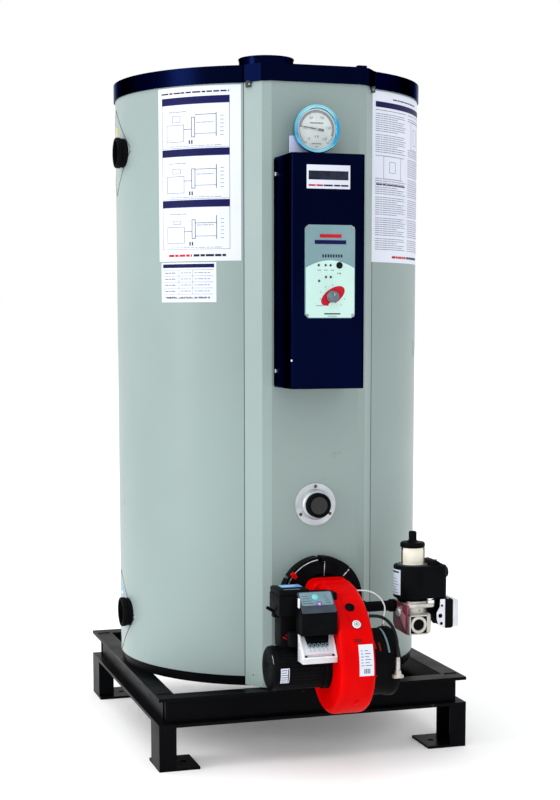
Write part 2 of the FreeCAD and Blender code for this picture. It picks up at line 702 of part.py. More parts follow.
def shape_part(label, shape):
    """A sub-part whose outline has no sketch; its sizes come from the sheet."""
    feature = doc.addObject("Part::Feature", label)
    feature.Label = label
    feature.Shape = shape.removeSplitter()
    feature.Placement = FreeCAD.Placement()
    PARTS.append(feature)
    return feature


def burner_casting():
    """Neck, fan scroll, motor flange, gas boss and the ignition box's seat."""
    back = size("face_depth") + size("flange_thickness")
    neck = Part.makeBox(size("neck_left") + size("neck_right"), size("neck_length"),
                        size("neck_above") + size("neck_below"),
                        FreeCAD.Vector(-size("neck_left"), -back - size("neck_length"),
                                       size("burner_z") - size("neck_below")))
    along = [edge for edge in neck.Edges if abs(edge.tangentAt(0).y) > 0.9]
    neck = neck.makeFillet(size("neck_corner"), along)
    scroll = x_prism(scroll_outline(), -size("scroll_left"), size("scroll_right"))
    motor_left = -size("scroll_left") - size("motor_flange_thickness")
    motor_flange = x_cylinder(motor_left, -size("scroll_left"), size("fan_y"),
                              size("fan_z"), size("motor_flange_radius"))
    boss = x_cylinder(size("scroll_right") - 20, size("gas_boss_end"), size("pipe_y"),
                      size("pipe_z"), size("gas_boss_radius"))
    seat_left = size("ignition_width") - size("ignition_left")
    seat = Part.makeBox(-seat_left, size("ignition_depth") - 24, size("ignition_height") - 24,
                        FreeCAD.Vector(seat_left, 12 - size("ignition_near"),
                                       size("ignition_bottom") + 12))
    return neck.multiFuse([scroll, motor_flange, boss, seat])


shape_part("burner_housing", burner_casting())

MOTOR_RIGHT = "(-scroll_left - motor_flange_thickness)"
burner_motor = new_body("burner_motor")
side_disc(burner_motor, "fan_y", "fan_z", "motor_radius",
          MOTOR_RIGHT + " - motor_length", MOTOR_RIGHT)

motor_cap = new_body("motor_cap")
side_disc(motor_cap, "fan_y", "fan_z", "motor_radius + 1",
          MOTOR_RIGHT + " - motor_length - motor_cap_length", MOTOR_RIGHT + " - motor_length")

air_intake = new_body("air_intake")
side_disc(air_intake, "fan_y", "fan_z", "intake_radius",
          "scroll_right", "scroll_right + intake_length")
block(air_intake, "fitting_left + 2", "fitting_left + fitting_width - 3",
      "-fitting_seat", "-fan_y - intake_radius / 2",
      "fitting_bottom", "fitting_bottom + fitting_height")
top_disc(air_intake, "nipple_x", "nipple_near", "nipple_radius", "fan_z", "nipple_top")

ignition_box = new_body("ignition_box")
block(ignition_box, "-ignition_left", "-ignition_left + ignition_width",
      "-ignition_near", "-ignition_near + ignition_depth",
      "ignition_bottom", "ignition_bottom + ignition_height")


def sloped_box(label, width, near, depth, bottom, height, slope):
    """Box on the scroll's left side; its top face falls toward the front."""
    body = new_body(label)
    sketch = new_sketch(body, "YZ_Plane", "-scroll_left - " + width)
    draw_polygon(sketch, [
        ("-" + near, bottom),
        ("-%s + %s" % (near, depth), bottom),
        ("-%s + %s" % (near, depth), "%s + %s" % (bottom, height)),
        ("-%s + %s * 0.9" % (near, depth), "%s + %s" % (bottom, height)),
        ("-" + near, "%s + %s - %s" % (bottom, height, slope)),
    ])
    pad(body, sketch, width)
    return body


CONTROL_LOW = "(terminal_bottom + terminal_height)"
burner_control = sloped_box("burner_control", "control_width", "control_near", "control_depth",
                            CONTROL_LOW, "control_height", "control_slope")
terminal_box = sloped_box("terminal_box", "terminal_width", "terminal_near", "terminal_depth",
                          "terminal_bottom", "terminal_height", "terminal_slope")

# ---------------------------------------------------------------- gas train

gas_pipe = new_body("gas_pipe")
side_disc(gas_pipe, "pipe_y", "pipe_z", "gas_pipe_radius", "gas_boss_end", "valve_left")
side_bore(gas_pipe, "pipe_y", "pipe_z", "gas_pipe_radius - gas_pipe_wall",
          "gas_boss_end", "valve_left")

VALVE_NEAR = "(gas_y + valve_depth / 2)"
VALVE_TOP = "(valve_bottom + valve_height)"

gas_valve_body = new_body("gas_valve_body")
block(gas_valve_body, "valve_left", "valve_left + valve_width",
      "-" + VALVE_NEAR, "-gas_y + valve_depth / 2", "valve_bottom", VALVE_TOP)
sketch = new_sketch(gas_valve_body, "XZ_Plane", VALVE_NEAR)
draw_rectangle(sketch, "inlet_x - inlet_side / 2", "inlet_x + inlet_side / 2",
               "inlet_z - inlet_side / 2", "inlet_z + inlet_side / 2")
pad(gas_valve_body, sketch, "inlet_thickness")
front_bore(gas_valve_body, "inlet_x", "inlet_z", "inlet_bore_radius",
           VALVE_NEAR + " + inlet_thickness - inlet_bore_depth",
           VALVE_NEAR + " + inlet_thickness")

COIL_TOP = VALVE_TOP + " + coil_height"
gas_valve_coil = new_body("gas_valve_coil")
COIL_LOW = VALVE_TOP + " + coil_collar_height"
top_disc(gas_valve_coil, "coil_x", "gas_y", "coil_collar_radius", VALVE_TOP, COIL_LOW)
top_disc(gas_valve_coil, "coil_x", "gas_y", "coil_radius", COIL_LOW, COIL_TOP)
block(gas_valve_coil, "coil_x", "coil_right", "-gas_y - coil_depth / 2",
      "-gas_y + coil_depth / 2", COIL_LOW, COIL_TOP)

DAMPER_TOP = COIL_TOP + " + damper_height"
damper_cylinder = new_body("damper_cylinder")
top_disc(damper_cylinder, "coil_x", "gas_y", "damper_radius", COIL_TOP, DAMPER_TOP)

CAP_TOP = DAMPER_TOP + " + damper_cap_height"
damper_cap = new_body("damper_cap")
top_disc(damper_cap, "coil_x", "gas_y", "damper_cap_radius", DAMPER_TOP, CAP_TOP)
top_disc(damper_cap, "coil_x", "gas_y", "damper_knob_radius",
         CAP_TOP, CAP_TOP + " + damper_knob_height")

switch_bracket = new_body("switch_bracket")
block(switch_bracket, "valve_left + valve_width", "switch_left",
      "-gas_y - 24", "-gas_y + 24", "switch_bottom + 8", "switch_bottom + switch_height - 8")

pressure_switch = new_body("pressure_switch")
block(pressure_switch, "switch_left", "switch_left + switch_base",
      "-switch_near", "-switch_near + switch_depth",
      "switch_bottom", "switch_bottom + switch_height")

switch_cover = new_body("switch_cover")
block(switch_cover, "switch_left + switch_base", "switch_left + switch_base + switch_cover",
      "-switch_near + 3", "-switch_near + switch_depth - 3",
      "switch_bottom + 3", "switch_bottom + switch_height - 3")

# ------------------------------------------------- conduit and sensing tube


def rounded_route(points):
    """Straight runs joined by tangent arcs, each as large as its two runs allow."""
    spots = [FreeCAD.Vector(*p) for p in points]
    edges = []
    radii = []
    length = 0.0
    here = spots[0]
    for before, corner, after in zip(spots, spots[1:], spots[2:]):
        come = corner - before
        leave = after - corner
        turn = come.getAngle(leave)
        cut = 0.45 * min(come.Length, leave.Length)
        radius = cut / math.tan(turn / 2)
        come.normalize()
        leave.normalize()
        start = corner - come * cut
        end = corner + leave * cut
        bisector = leave - come
        bisector.normalize()
        centre = corner + bisector * (radius / math.cos(turn / 2))
        middle = centre - bisector * radius
        edges.append(Part.LineSegment(here, start).toShape())
        edges.append(Part.Arc(start, middle, end).toShape())
        length += (start - here).Length + radius * turn
        radii.append(radius)
        here = end
    edges.append(Part.LineSegment(here, spots[-1]).toShape())
    length += (spots[-1] - here).Length
    return Part.Wire(edges), length, radii


def round_tube(label, points, radius):
    """A round cord along a route, with its volume checked against its length."""
    wire, length, radii = rounded_route(points)
    along = FreeCAD.Vector(*points[1]) - FreeCAD.Vector(*points[0])
    section = Part.Wire([Part.makeCircle(radius, FreeCAD.Vector(*points[0]), along)])
    solid = wire.makePipeShell([section], True, False)
    expected = math.pi * radius ** 2 * length
    print("%s: length %.1f, smallest radius %.1f, volume ratio %.4f"
          % (label, length, min(radii), solid.Volume / expected))
    if abs(solid.Volume / expected - 1) > 0.01:
        raise ValueError(label + ": volume does not match its length")
    return shape_part(label, solid)


def beside_fan(points):
    """Route given from the scroll's right side, the fan axis and its height."""
    return [(size("scroll_right") + x, -size("fan_y") - near, size("fan_z") + z)
            for x, near, z in points]


CONDUIT_ROUTE = beside_fan([
    (0, 55, 110), (18, 55, 110), (35, 59, 103), (47, 66, 89), (53, 73, 69), (55, 79, 45), (55, 79, -4),
])
SENSING_ROUTE = beside_fan([
    (0, -40, 148), (20, -40, 148), (42, -38, 143), (59, -34, 130), (68, -27, 110), (60, -19, 91),
    (60, -19, 76),
])

conduit_fitting = new_body("conduit_fitting")
block(conduit_fitting, "fitting_left", "fitting_left + fitting_width",
      "-fitting_seat - fitting_depth", "-fitting_seat",
      "fitting_bottom", "fitting_bottom + fitting_height")
round_tube("conduit", CONDUIT_ROUTE, size("conduit_radius"))
round_tube("sensing_tube", SENSING_ROUTE, size("sensing_radius"))

os.makedirs("parts", exist_ok=True)
doc.recompute()
for thing in doc.Objects:
    if "Invalid" in thing.State or "Error" in thing.State:
        raise ValueError(thing.Name + " failed: " + str(thing.State))
for part in PARTS:
    if part.Shape.isNull() or not part.Shape.isValid():
        raise ValueError(part.Label + " has no valid shape")
    if len(part.Shape.Solids) != 1:
        raise ValueError(part.Label + " is not one solid")
for part in PARTS:
    part.Shape.exportStep("parts/%s.step" % part.Label)
print("%d sub-parts written" % len(PARTS))
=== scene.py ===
import math

import bmesh
import bpy
from mathutils import Matrix, Vector


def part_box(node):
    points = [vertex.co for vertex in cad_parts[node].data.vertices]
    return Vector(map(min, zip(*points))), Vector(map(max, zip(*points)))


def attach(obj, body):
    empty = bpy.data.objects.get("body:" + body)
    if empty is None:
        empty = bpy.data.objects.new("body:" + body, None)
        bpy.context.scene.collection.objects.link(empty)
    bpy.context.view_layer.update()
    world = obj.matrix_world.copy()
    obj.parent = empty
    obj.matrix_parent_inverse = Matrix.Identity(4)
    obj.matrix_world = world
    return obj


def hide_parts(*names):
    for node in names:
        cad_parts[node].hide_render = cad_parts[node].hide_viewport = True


# Looks of a floor-standing industrial boiler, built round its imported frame.
# Blender works in metres; the helpers below take millimetres in the CAD frame,
# where the front faces -Y and the origin is on the floor under the jacket's axis.

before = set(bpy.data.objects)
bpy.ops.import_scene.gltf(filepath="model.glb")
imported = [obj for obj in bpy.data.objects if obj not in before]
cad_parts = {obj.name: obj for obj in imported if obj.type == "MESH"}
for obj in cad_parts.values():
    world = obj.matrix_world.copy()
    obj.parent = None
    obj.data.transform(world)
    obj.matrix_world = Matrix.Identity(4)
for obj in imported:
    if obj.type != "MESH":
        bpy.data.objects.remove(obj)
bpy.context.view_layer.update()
MM = 0.001


def node_box(name):
    """Lowest and highest corner of a CAD node, in millimetres."""
    low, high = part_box(name)
    return low / MM, high / MM


def node_middle(name):
    """Middle of a CAD node's box, in millimetres."""
    low, high = node_box(name)
    return (low + high) / 2


# -------------------------------------------------------------------- camera

camera = bpy.data.objects.new("camera", bpy.data.cameras.new("camera"))
bpy.context.scene.collection.objects.link(camera)
camera.data.sensor_width = 36.0
camera.data.lens = 70.26
camera.data.shift_y = 0.1192
camera.data.clip_start = 0.1
camera.data.clip_end = 60.0
camera.location = (-1.0727, -3.5592, 0.9703)
camera.rotation_euler = (math.radians(90 - 6.57), 0.0, math.radians(-17.27))
bpy.context.scene.camera = camera

# --------------------------------------------------------------------- cords

# A point's radius scales the bevel and also pads the curve's box, so it is small.
POINT_RADIUS = 0.005


def cord_curve(name, points, diameter, node):
    """A cord on a smooth NURBS line whose control points are its route's points."""
    curve = bpy.data.curves.new(name, "CURVE")
    curve.dimensions = "3D"
    curve.bevel_depth = diameter / 2 / POINT_RADIUS
    curve.bevel_resolution = 5
    curve.resolution_u = 10
    curve.use_fill_caps = True
    spline = curve.splines.new("NURBS")
    spline.points.add(len(points) - 1)
    for control, place in zip(spline.points, points):
        control.co = (*place, 1.0)
        control.radius = POINT_RADIUS
    spline.order_u = 3
    spline.use_endpoint_u = True
    cord = bpy.data.objects.new(name, curve)
    bpy.context.scene.collection.objects.link(cord)
    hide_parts(node)
    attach(cord, "boiler")
    return cord


CONDUIT_ROUTE = [
    (0.060, -0.545, 0.346), (0.078, -0.545, 0.346), (0.095, -0.549, 0.339),
    (0.107, -0.556, 0.325), (0.113, -0.563, 0.305), (0.115, -0.569, 0.281),
    (0.115, -0.569, 0.232),
]
SENSING_ROUTE = [
    (0.060, -0.450, 0.384), (0.080, -0.450, 0.384), (0.102, -0.452, 0.379),
    (0.119, -0.456, 0.366), (0.128, -0.463, 0.346), (0.120, -0.471, 0.327),
    (0.120, -0.471, 0.312),
]
conduit = cord_curve("conduit_line", CONDUIT_ROUTE, 0.007, "conduit")
sensing = cord_curve("sensing_line", SENSING_ROUTE, 0.0032, "sensing_tube")

# ----------------------------------------------------------------- materials

# Places of a Mix node's two colours and of its mixed colour among its sockets.
MIX_COLOURS = (6, 7)
MIX_RESULT = 2
# What a worn spot adds to the roughness.
WORN_ROUGHNESS = 0.25


def tone(red, green, blue):
    """A colour given in ordinary 0-255 display values, as the shader's linear one."""
    linear = [((c / 255 + 0.055) / 1.055) ** 2.4 if c > 10 else c / 3295
              for c in (red, green, blue)]
    return (*linear, 1.0)


class Surface:
    """A procedural material: mottled colour, uneven gloss, fine bump and wear."""

    def __init__(self, name, first, second, rough=0.4, metal=0.0, coat=0.0, coat_rough=0.08,
                 mottle=60, grain=900, bump=0.03, rough_spread=0.08,
                 wear=None, wear_from=0.66, wear_scale=30.0, transmission=0.0,
                 ior=1.45, specular=0.5, alpha=1.0, tint=(1.0, 1.0, 1.0, 1.0)):
        self.material = bpy.data.materials.new(name)
        self.material.use_nodes = True
        self.tree = self.material.node_tree
        self.tree.nodes.clear()
        out = self.node("ShaderNodeOutputMaterial")
        self.shader = self.node("ShaderNodeBsdfPrincipled")
        self.link(self.shader, "BSDF", out, "Surface")
        self.place = self.node("ShaderNodeTexCoord")
        broad = self.noise(mottle, 4.0)
        fine = self.noise(grain, 2.0)
        colour = self.mix(self.range(broad, 0.35, 0.65), tone(*first), tone(*second))
        gloss = self.range(broad, 0.3, 0.7, rough - rough_spread, rough + rough_spread)
        if wear:
            worn = self.noise(wear_scale, 6.0)
            mask = self.range(worn, wear_from, wear_from + 0.05)
            colour = self.mix(mask, colour, tone(*wear))
            gloss = self.math("ADD", gloss, self.math("MULTIPLY", mask, WORN_ROUGHNESS))
        self.link(colour, MIX_RESULT, self.shader, "Base Color")
        self.link(gloss, 0, self.shader, "Roughness")
        relief = self.node("ShaderNodeBump")
        relief.inputs["Strength"].default_value = bump
        relief.inputs["Distance"].default_value = 0.001
        self.link(fine, 0, relief, "Height")
        self.link(relief, "Normal", self.shader, "Normal")
        for socket, value in (("Metallic", metal), ("Coat Weight", coat),
                              ("Coat Roughness", coat_rough),
                              ("Transmission Weight", transmission), ("IOR", ior),
                              ("Specular IOR Level", specular), ("Specular Tint", tint),
                              ("Alpha", alpha)):
            self.shader.inputs[socket].default_value = value

    def node(self, kind):
        return self.tree.nodes.new(kind)

    def link(self, source, output, target, socket):
        self.tree.links.new(source.outputs[output], target.inputs[socket])

    def noise(self, scale, detail):
        node = self.node("ShaderNodeTexNoise")
        node.inputs["Scale"].default_value = scale
        node.inputs["Detail"].default_value = detail
        self.link(self.place, "Object", node, "Vector")
        return node

    def range(self, source, low, high, to_low=0.0, to_high=1.0):
        node = self.node("ShaderNodeMapRange")
        self.link(source, 0, node, "Value")
        for socket, value in zip(("From Min", "From Max", "To Min", "To Max"),
                                 (low, high, to_low, to_high)):
            node.inputs[socket].default_value = value
        return node

    def math(self, kind, first, second):
        node = self.node("ShaderNodeMath")
        node.operation = kind
        self.link(first, 0, node, 0)
        if isinstance(second, (int, float)):
            node.inputs[1].default_value = second
        else:
            self.link(second, 0, node, 1)
        return node

    def mix(self, factor, first, second):
        node = self.node("ShaderNodeMix")
        node.data_type = "RGBA"
        self.link(factor, 0, node, 0)
        for socket, value in zip(MIX_COLOURS, (first, second)):
            if isinstance(value, tuple):
                node.inputs[socket].default_value = value
            else:
                self.link(value, MIX_RESULT, node, socket)
        return node


# Two colours that mottle each other, then what differs from a Surface's usual settings.
LOOKS = {
    "jacket_grey": ((141, 158, 155), (136, 152, 150), dict(rough=0.42, coat=0.12, coat_rough=0.25,
        mottle=2.2, bump=0.06, wear=(131, 147, 144), wear_from=0.7, wear_scale=14, ior=1.35,
        specular=0.35)),
    "navy_paint": ((4, 9, 38), (3, 7, 32), dict(rough=0.22, metal=1.0, mottle=6, grain=1200,
        wear=(10, 20, 70), wear_from=0.73, wear_scale=45, tint=(0.15, 0.2, 0.35, 1.0))),
    "frame_black": ((5, 6, 8), (10, 10, 13), dict(rough=0.36, coat=0.02, coat_rough=0.25, mottle=9,
        grain=260, bump=0.2, wear=(46, 48, 52), wear_from=0.71, wear_scale=38, ior=1.22,
        specular=0.08)),
    "control_plate": ((118, 150, 156), (110, 142, 150), dict(rough=0.35, mottle=14, bump=0.02)),
    "plate_mint": ((192, 226, 217), (184, 219, 212), dict(rough=0.35, mottle=14, bump=0.02)),
    "knob_grey": ((96, 112, 122), (84, 100, 110), dict(rough=0.42, grain=1500, bump=0.08)),
    "knob_line": ((214, 220, 222), (196, 204, 206), dict()),
    # dial_chrome's cyan and blue base colours are a painted reflection: they stand in for blue
    # surroundings mirrored in the bezel's chrome.
    "dial_chrome": ((150, 216, 230), (60, 156, 200), dict(rough=0.12, metal=1.0, mottle=14,
        grain=1500, bump=0.02, rough_spread=0.04)),
    "dial_face": ((222, 230, 226), (210, 220, 217), dict(rough=0.6, mottle=40, grain=1400)),
    "dial_band": ((96, 102, 110), (120, 106, 118), dict(rough=0.6, bump=0.02)),
    "clear_glass": ((244, 250, 250), (236, 246, 248), dict(rough=0.04, mottle=20, grain=60,
        bump=0.004, rough_spread=0.02, alpha=0.12)),
    "pale_steel": ((196, 202, 206), (178, 184, 190), dict(rough=0.36, metal=0.55, mottle=26,
        grain=700, bump=0.08, wear=(140, 132, 120), wear_from=0.7, wear_scale=60)),
    "bracket_lilac": ((206, 210, 236), (190, 196, 226), dict(rough=0.42, mottle=18, grain=800,
        bump=0.04)),
    "dark_glass": ((6, 8, 10), (11, 13, 17), dict(rough=0.08, coat=0.4, coat_rough=0.03, mottle=30,
        grain=500, bump=0.02, rough_spread=0.03, ior=1.3)),
    "black_iron": ((7, 8, 10), (14, 15, 18), dict(rough=0.46, mottle=24, grain=420, bump=0.25,
        wear=(58, 60, 66), wear_from=0.72, wear_scale=70, ior=1.25, specular=0.08)),
    "burner_red": ((214, 1, 2), (200, 0, 2), dict(rough=0.36, coat=0.03, coat_rough=0.16, mottle=12,
        grain=330, bump=0.12, wear=(160, 1, 6), wear_from=0.73, wear_scale=40, ior=1.15,
        specular=0.15)),
    "burner_deep": ((150, 3, 8), (120, 2, 6), dict(mottle=30, grain=600, bump=0.1, specular=0.15)),
    "black_plastic": ((7, 8, 9), (12, 13, 15), dict(rough=0.42, mottle=32, grain=950, bump=0.12,
        ior=1.25, specular=0.08)),
    "control_grey": ((16, 20, 26), (24, 29, 36), dict(rough=0.44, mottle=32, grain=950, bump=0.1,
        ior=1.3, specular=0.2)),
    "control_band": ((48, 57, 68), (58, 68, 80), dict(mottle=32, grain=950, bump=0.06, ior=1.3)),
    "control_face": ((112, 142, 152), (100, 129, 141), dict(mottle=40, bump=0.04)),
    "sticker_cyan": ((104, 214, 206), (80, 196, 190), dict()),
    "clear_plastic": ((226, 228, 236), (212, 215, 224), dict(rough=0.2, coat=0.4, mottle=28,
        grain=400, bump=0.05, transmission=0.15)),
    "aluminium": ((206, 204, 196), (184, 182, 176), dict(metal=0.7, mottle=40, grain=520, bump=0.28,
        wear=(120, 116, 110), wear_from=0.68, wear_scale=90)),
    "valve_maroon": ((112, 34, 56), (138, 62, 84), dict(rough=0.42, metal=0.25, mottle=40,
        grain=520, bump=0.2)),
    "valve_pink": ((196, 138, 152), (176, 118, 134), dict(rough=0.42, metal=0.2, mottle=40,
        grain=520, bump=0.15)),
    "cream_plastic": ((236, 234, 220), (226, 222, 204), dict(rough=0.34, coat=0.3, mottle=40,
        grain=800, bump=0.05)),
    "conduit_black": ((8, 9, 11), (16, 17, 20), dict(rough=0.34, grain=700, bump=0.1, ior=1.3,
        specular=0.3)),
    "tube_white": ((232, 234, 234), (214, 218, 220), dict(rough=0.36, bump=0.05)),
    "paper": ((214, 220, 232), (207, 213, 228), dict(rough=0.5, mottle=7, grain=1300, bump=0.05)),
    "ink_navy": ((14, 15, 66), (20, 21, 76), dict(rough=0.5, mottle=30, grain=1300, specular=0.1)),
    "ink_grey": ((84, 88, 116), (104, 108, 134), dict(rough=0.5, grain=1300)),
    "ink_dark": ((26, 30, 44), (40, 44, 60), dict(rough=0.5, grain=1300, specular=0.1)),
    "ink_red": ((190, 24, 44), (170, 18, 38), dict(rough=0.45, mottle=40, grain=1300,
        specular=0.15)),
    "label_yellow": ((226, 190, 84), (208, 172, 70), dict(rough=0.5, grain=1300)),
    "label_blue": ((110, 170, 226), (92, 152, 214), dict(rough=0.42, grain=1300)),
    "zinc": ((196, 198, 196), (160, 164, 160), dict(rough=0.3, metal=0.9, mottle=120, bump=0.1)),
    "brass_dull": ((120, 96, 66), (86, 62, 44), dict(rough=0.45, metal=0.7, mottle=120, bump=0.12)),
    "seam_dark": ((44, 50, 50), (62, 68, 68), dict(rough=0.6, mottle=50, grain=500, bump=0.1)),
    "rubber": ((6, 6, 8), (12, 12, 14), dict(rough=0.6, mottle=50, grain=600, bump=0.12, ior=1.25,
        specular=0.12)),
    "sight_green": ((132, 152, 138), (118, 138, 126), dict(rough=0.3, bump=0.04)),
    "reset_violet": ((120, 84, 170), (104, 70, 150), dict(bump=0.04)),
    "label_pale": ((196, 214, 226), (186, 205, 219), dict(rough=0.45, mottle=30, grain=1300)),
    "label_pink": ((206, 120, 158), (188, 104, 142), dict(rough=0.45, mottle=30, grain=1300)),
    "bracket_white": ((222, 224, 232), (206, 209, 220), dict(mottle=30, bump=0.04)),
}
MATERIALS = {name: Surface(name, first, second, **settings).material
             for name, (first, second, settings) in LOOKS.items()}
conduit.data.materials.append(MATERIALS["conduit_black"])
sensing.data.materials.append(MATERIALS["tube_white"])

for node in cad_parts.values():
    for place in node.material_slots:
        place.material = MATERIALS[place.material.name.split(".")[0]]

# ------------------------------------------------------------- mesh building


class Piece:
    """Gathers closed meshes, in millimetres, into one named object."""

    def __init__(self, name, slot=None, body="boiler", replaces=(), sharp=38):
        self.name, self.slot, self.body = name, slot, body
        self.replaces, self.sharp = replaces, math.radians(sharp)
        self.bm = bmesh.new()
        self.names = []

    def add(self, part, material=None, turn=None):
        """Takes one closed mesh in, by default in the slot's own material.
        turn is a matrix that puts it in place."""
        material = material or self.slot
        if material not in self.names:
            self.names.append(material)
        if turn is not None:
            part.transform(turn)
        bmesh.ops.recalc_face_normals(part, faces=part.faces)
        index = self.names.index(material)
        for face in part.faces:
            face.material_index = index
        holder = bpy.data.meshes.new("holder")
        part.to_mesh(holder)
        part.free()
        self.bm.from_mesh(holder)
        bpy.data.meshes.remove(holder)
        return self

    def done(self):
        for face in self.bm.faces:
            face.smooth = True
        for edge in self.bm.edges:
            if len(edge.link_faces) == 2:
                edge.smooth = edge.calc_face_angle(0.0) < self.sharp
        self.bm.transform(Matrix.Scale(MM, 4))
        mesh = bpy.data.meshes.new(self.name)
        self.bm.to_mesh(mesh)
        self.bm.free()
        for name in self.names:
            mesh.materials.append(MATERIALS[name])
        piece = bpy.data.objects.new(self.name, mesh)
        bpy.context.scene.collection.objects.link(piece)
        if self.replaces:
            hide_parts(*self.replaces)
        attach(piece, self.body)
        return piece


def box(low, high, bevel=0.0, segments=2):
    """A box between two corners, with rounded edges."""
    bm = bmesh.new()
    bmesh.ops.create_cube(bm, size=1.0)
    low, high = Vector(low), Vector(high)
    size, middle = high - low, (high + low) / 2
    for vert in bm.verts:
        vert.co = Vector(a * b + c for a, b, c in zip(vert.co, size, middle))
    if bevel:
        bmesh.ops.bevel(bm, geom=bm.edges[:], offset=bevel, segments=segments,
                        profile=0.5, affect="EDGES", clamp_overlap=True)
    return bm


FRONT = (0, -1, 0)
UP = (0, 0, 1)
# A lathe turns about Z; these lay its axis along another one.
AXES = {
    "y": Matrix(((1, 0, 0), (0, 0, -1), (0, 1, 0))).to_4x4(),
    "x": Matrix(((0, 0, 1), (0, 1, 0), (1, 0, 0))).to_4x4(),
    "z": Matrix.Identity(4),
}


def lathe(profile, centre, axis="y", segments=64, closed=False):
    """Turns a profile of (radius, height) pairs about an axis through centre.
    Heights go toward -Y, +X or +Z; closed joins the profile's ends, for a ring."""
    bm = bmesh.new()
    rings = []
    for radius, height in profile:
        if radius < 1e-6:
            rings.append([bm.verts.new((0, 0, height))])
            continue
        angles = [2 * math.pi * k / segments for k in range(segments)]
        rings.append([bm.verts.new((radius * math.cos(a), radius * math.sin(a), height))
                      for a in angles])
    pairs = list(zip(rings, rings[1:]))
    if closed:
        pairs.append((rings[-1], rings[0]))
    for first, second in pairs:
        for k in range(segments):
            after = (k + 1) % segments
            corners = [first[k % len(first)], first[after % len(first)],
                       second[after % len(second)], second[k % len(second)]]
            corners = [v for i, v in enumerate(corners) if v not in corners[:i]]
            if len(corners) > 2:
                bm.faces.new(corners)
    if not closed:
        for end in (rings[0], rings[-1]):
            if len(end) > 2:
                bm.faces.new(end)
    bm.transform(Matrix.Translation(Vector(centre)) @ AXES[axis])
    return bm


def rounded(radius, start, end, edge):
    """Profile of a solid disc from start to end with a rounded outer edge."""
    side = 1 if end > start else -1
    curve = [(radius - edge + edge * math.cos(a), end - side * edge * (1 - math.sin(a)))
             for a in (math.radians(step) for step in (0, 30, 60, 90))]
    return [(0, start), (radius, start), *curve, (0, end)]


def ring(inner, outer, start, end, edge=0.6):
    """Profile of a ring with softened front edges, for a closed lathe."""
    side = 1 if end > start else -1
    return [(inner, start), (outer, start), (outer, end - side * edge),
            (outer - edge, end), (inner + edge, end), (inner, end - side * edge)]


def prism(outline, low, high, axis="z", bevel=0.0, segments=3, bevel_angle=30):
    """Extrudes a closed outline. Its pairs are (x, y), (x, z) or (y, z) for axis z, y or x."""
    place = {
        "z": lambda p, t: (p[0], p[1], t),
        "y": lambda p, t: (p[0], t, p[1]),
        "x": lambda p, t: (t, p[0], p[1]),
    }[axis]
    bm = bmesh.new()
    bottom = [bm.verts.new(place(p, low)) for p in outline]
    top = [bm.verts.new(place(p, high)) for p in outline]
    bm.faces.new(bottom)
    bm.faces.new(reversed(top))
    count = len(outline)
    for k in range(count):
        after = (k + 1) % count
        bm.faces.new((bottom[after], bottom[k], top[k], top[after]))
    bmesh.ops.recalc_face_normals(bm, faces=bm.faces)
    if bevel:
        edges = [e for e in bm.edges if e.calc_face_angle(0.0) > math.radians(bevel_angle)]
        bmesh.ops.bevel(bm, geom=edges, offset=bevel, segments=segments, profile=0.5,
                        affect="EDGES", clamp_overlap=True)
    return bm


def bridged(bm, loops):
    """Joins rings of as many vertices each, one after another, and closes both ends."""
    for first, second in zip(loops, loops[1:]):
        for n in range(len(first)):
            after = (n + 1) % len(first)
            bm.faces.new((first[n], first[after], second[after], second[n]))
    bm.faces.new(loops[0])
    bm.faces.new(loops[-1])
    return bm


def around(centre, radius, angle):
    """Point on a circle; degrees run from the second axis toward the first."""
    turn = math.radians(angle)
    return centre[0] + radius * math.sin(turn), centre[1] + radius * math.cos(turn)


def band(centre, start, end, inner, outer, steps):
    """Outline of part of a flat ring, with its angles as in around."""
    angles = [start + (end - start) * k / steps for k in range(steps + 1)]
    return ([around(centre, outer, angle) for angle in angles]
            + [around(centre, inner, angle) for angle in reversed(angles)])


def spun(place, angle, axis):
    """Matrix that turns a part about its own origin by degrees and carries it to a place."""
    return Matrix.Translation(place) @ Matrix.Rotation(math.radians(angle), 4, axis)


def tube(points, radius, segments=10):
    """A round bar along points, with closed ends."""
    bm = bmesh.new()
    points = [Vector(p) for p in points]
    loops = []
    up = Vector(UP)
    for k, here in enumerate(points):
        along = (points[min(k + 1, len(points) - 1)] - points[max(k - 1, 0)]).normalized()
        if k == 0:
            side = along.cross(up)
            if side.length < 0.1:
                side = along.cross(Vector((1, 0, 0)))
        side = (side - along * side.dot(along)).normalized()
        other = along.cross(side)
        loops.append([bm.verts.new(here + (side * math.cos(a) + other * math.sin(a)) * radius)
                      for a in (2 * math.pi * n / segments for n in range(segments))])
    return bridged(bm, loops)


def smooth_line(points, steps=8):
    """Catmull-Rom line through a few points."""
    points = [Vector(p) for p in points]
    ends = [points[0] * 2 - points[1], *points, points[-1] * 2 - points[-2]]
    line = []
    for a, b, c, d in zip(ends, ends[1:], ends[2:], ends[3:]):
        for k in range(steps):
            t = k / steps
            line.append(0.5 * ((2 * b) + (c - a) * t + (2 * a - 5 * b + 4 * c - d) * t * t
                               + (3 * b - a - 3 * c + d) * t ** 3))
    line.append(points[-1])
    return line


JACKET_RADIUS = node_box("jacket_right")[1].x


def on_jacket(angle, height, lift=0.0):
    """A point on the round jacket; the angle is from the front, positive to +X."""
    return Vector((*around((0, 0), JACKET_RADIUS + lift, 180 - angle), height))


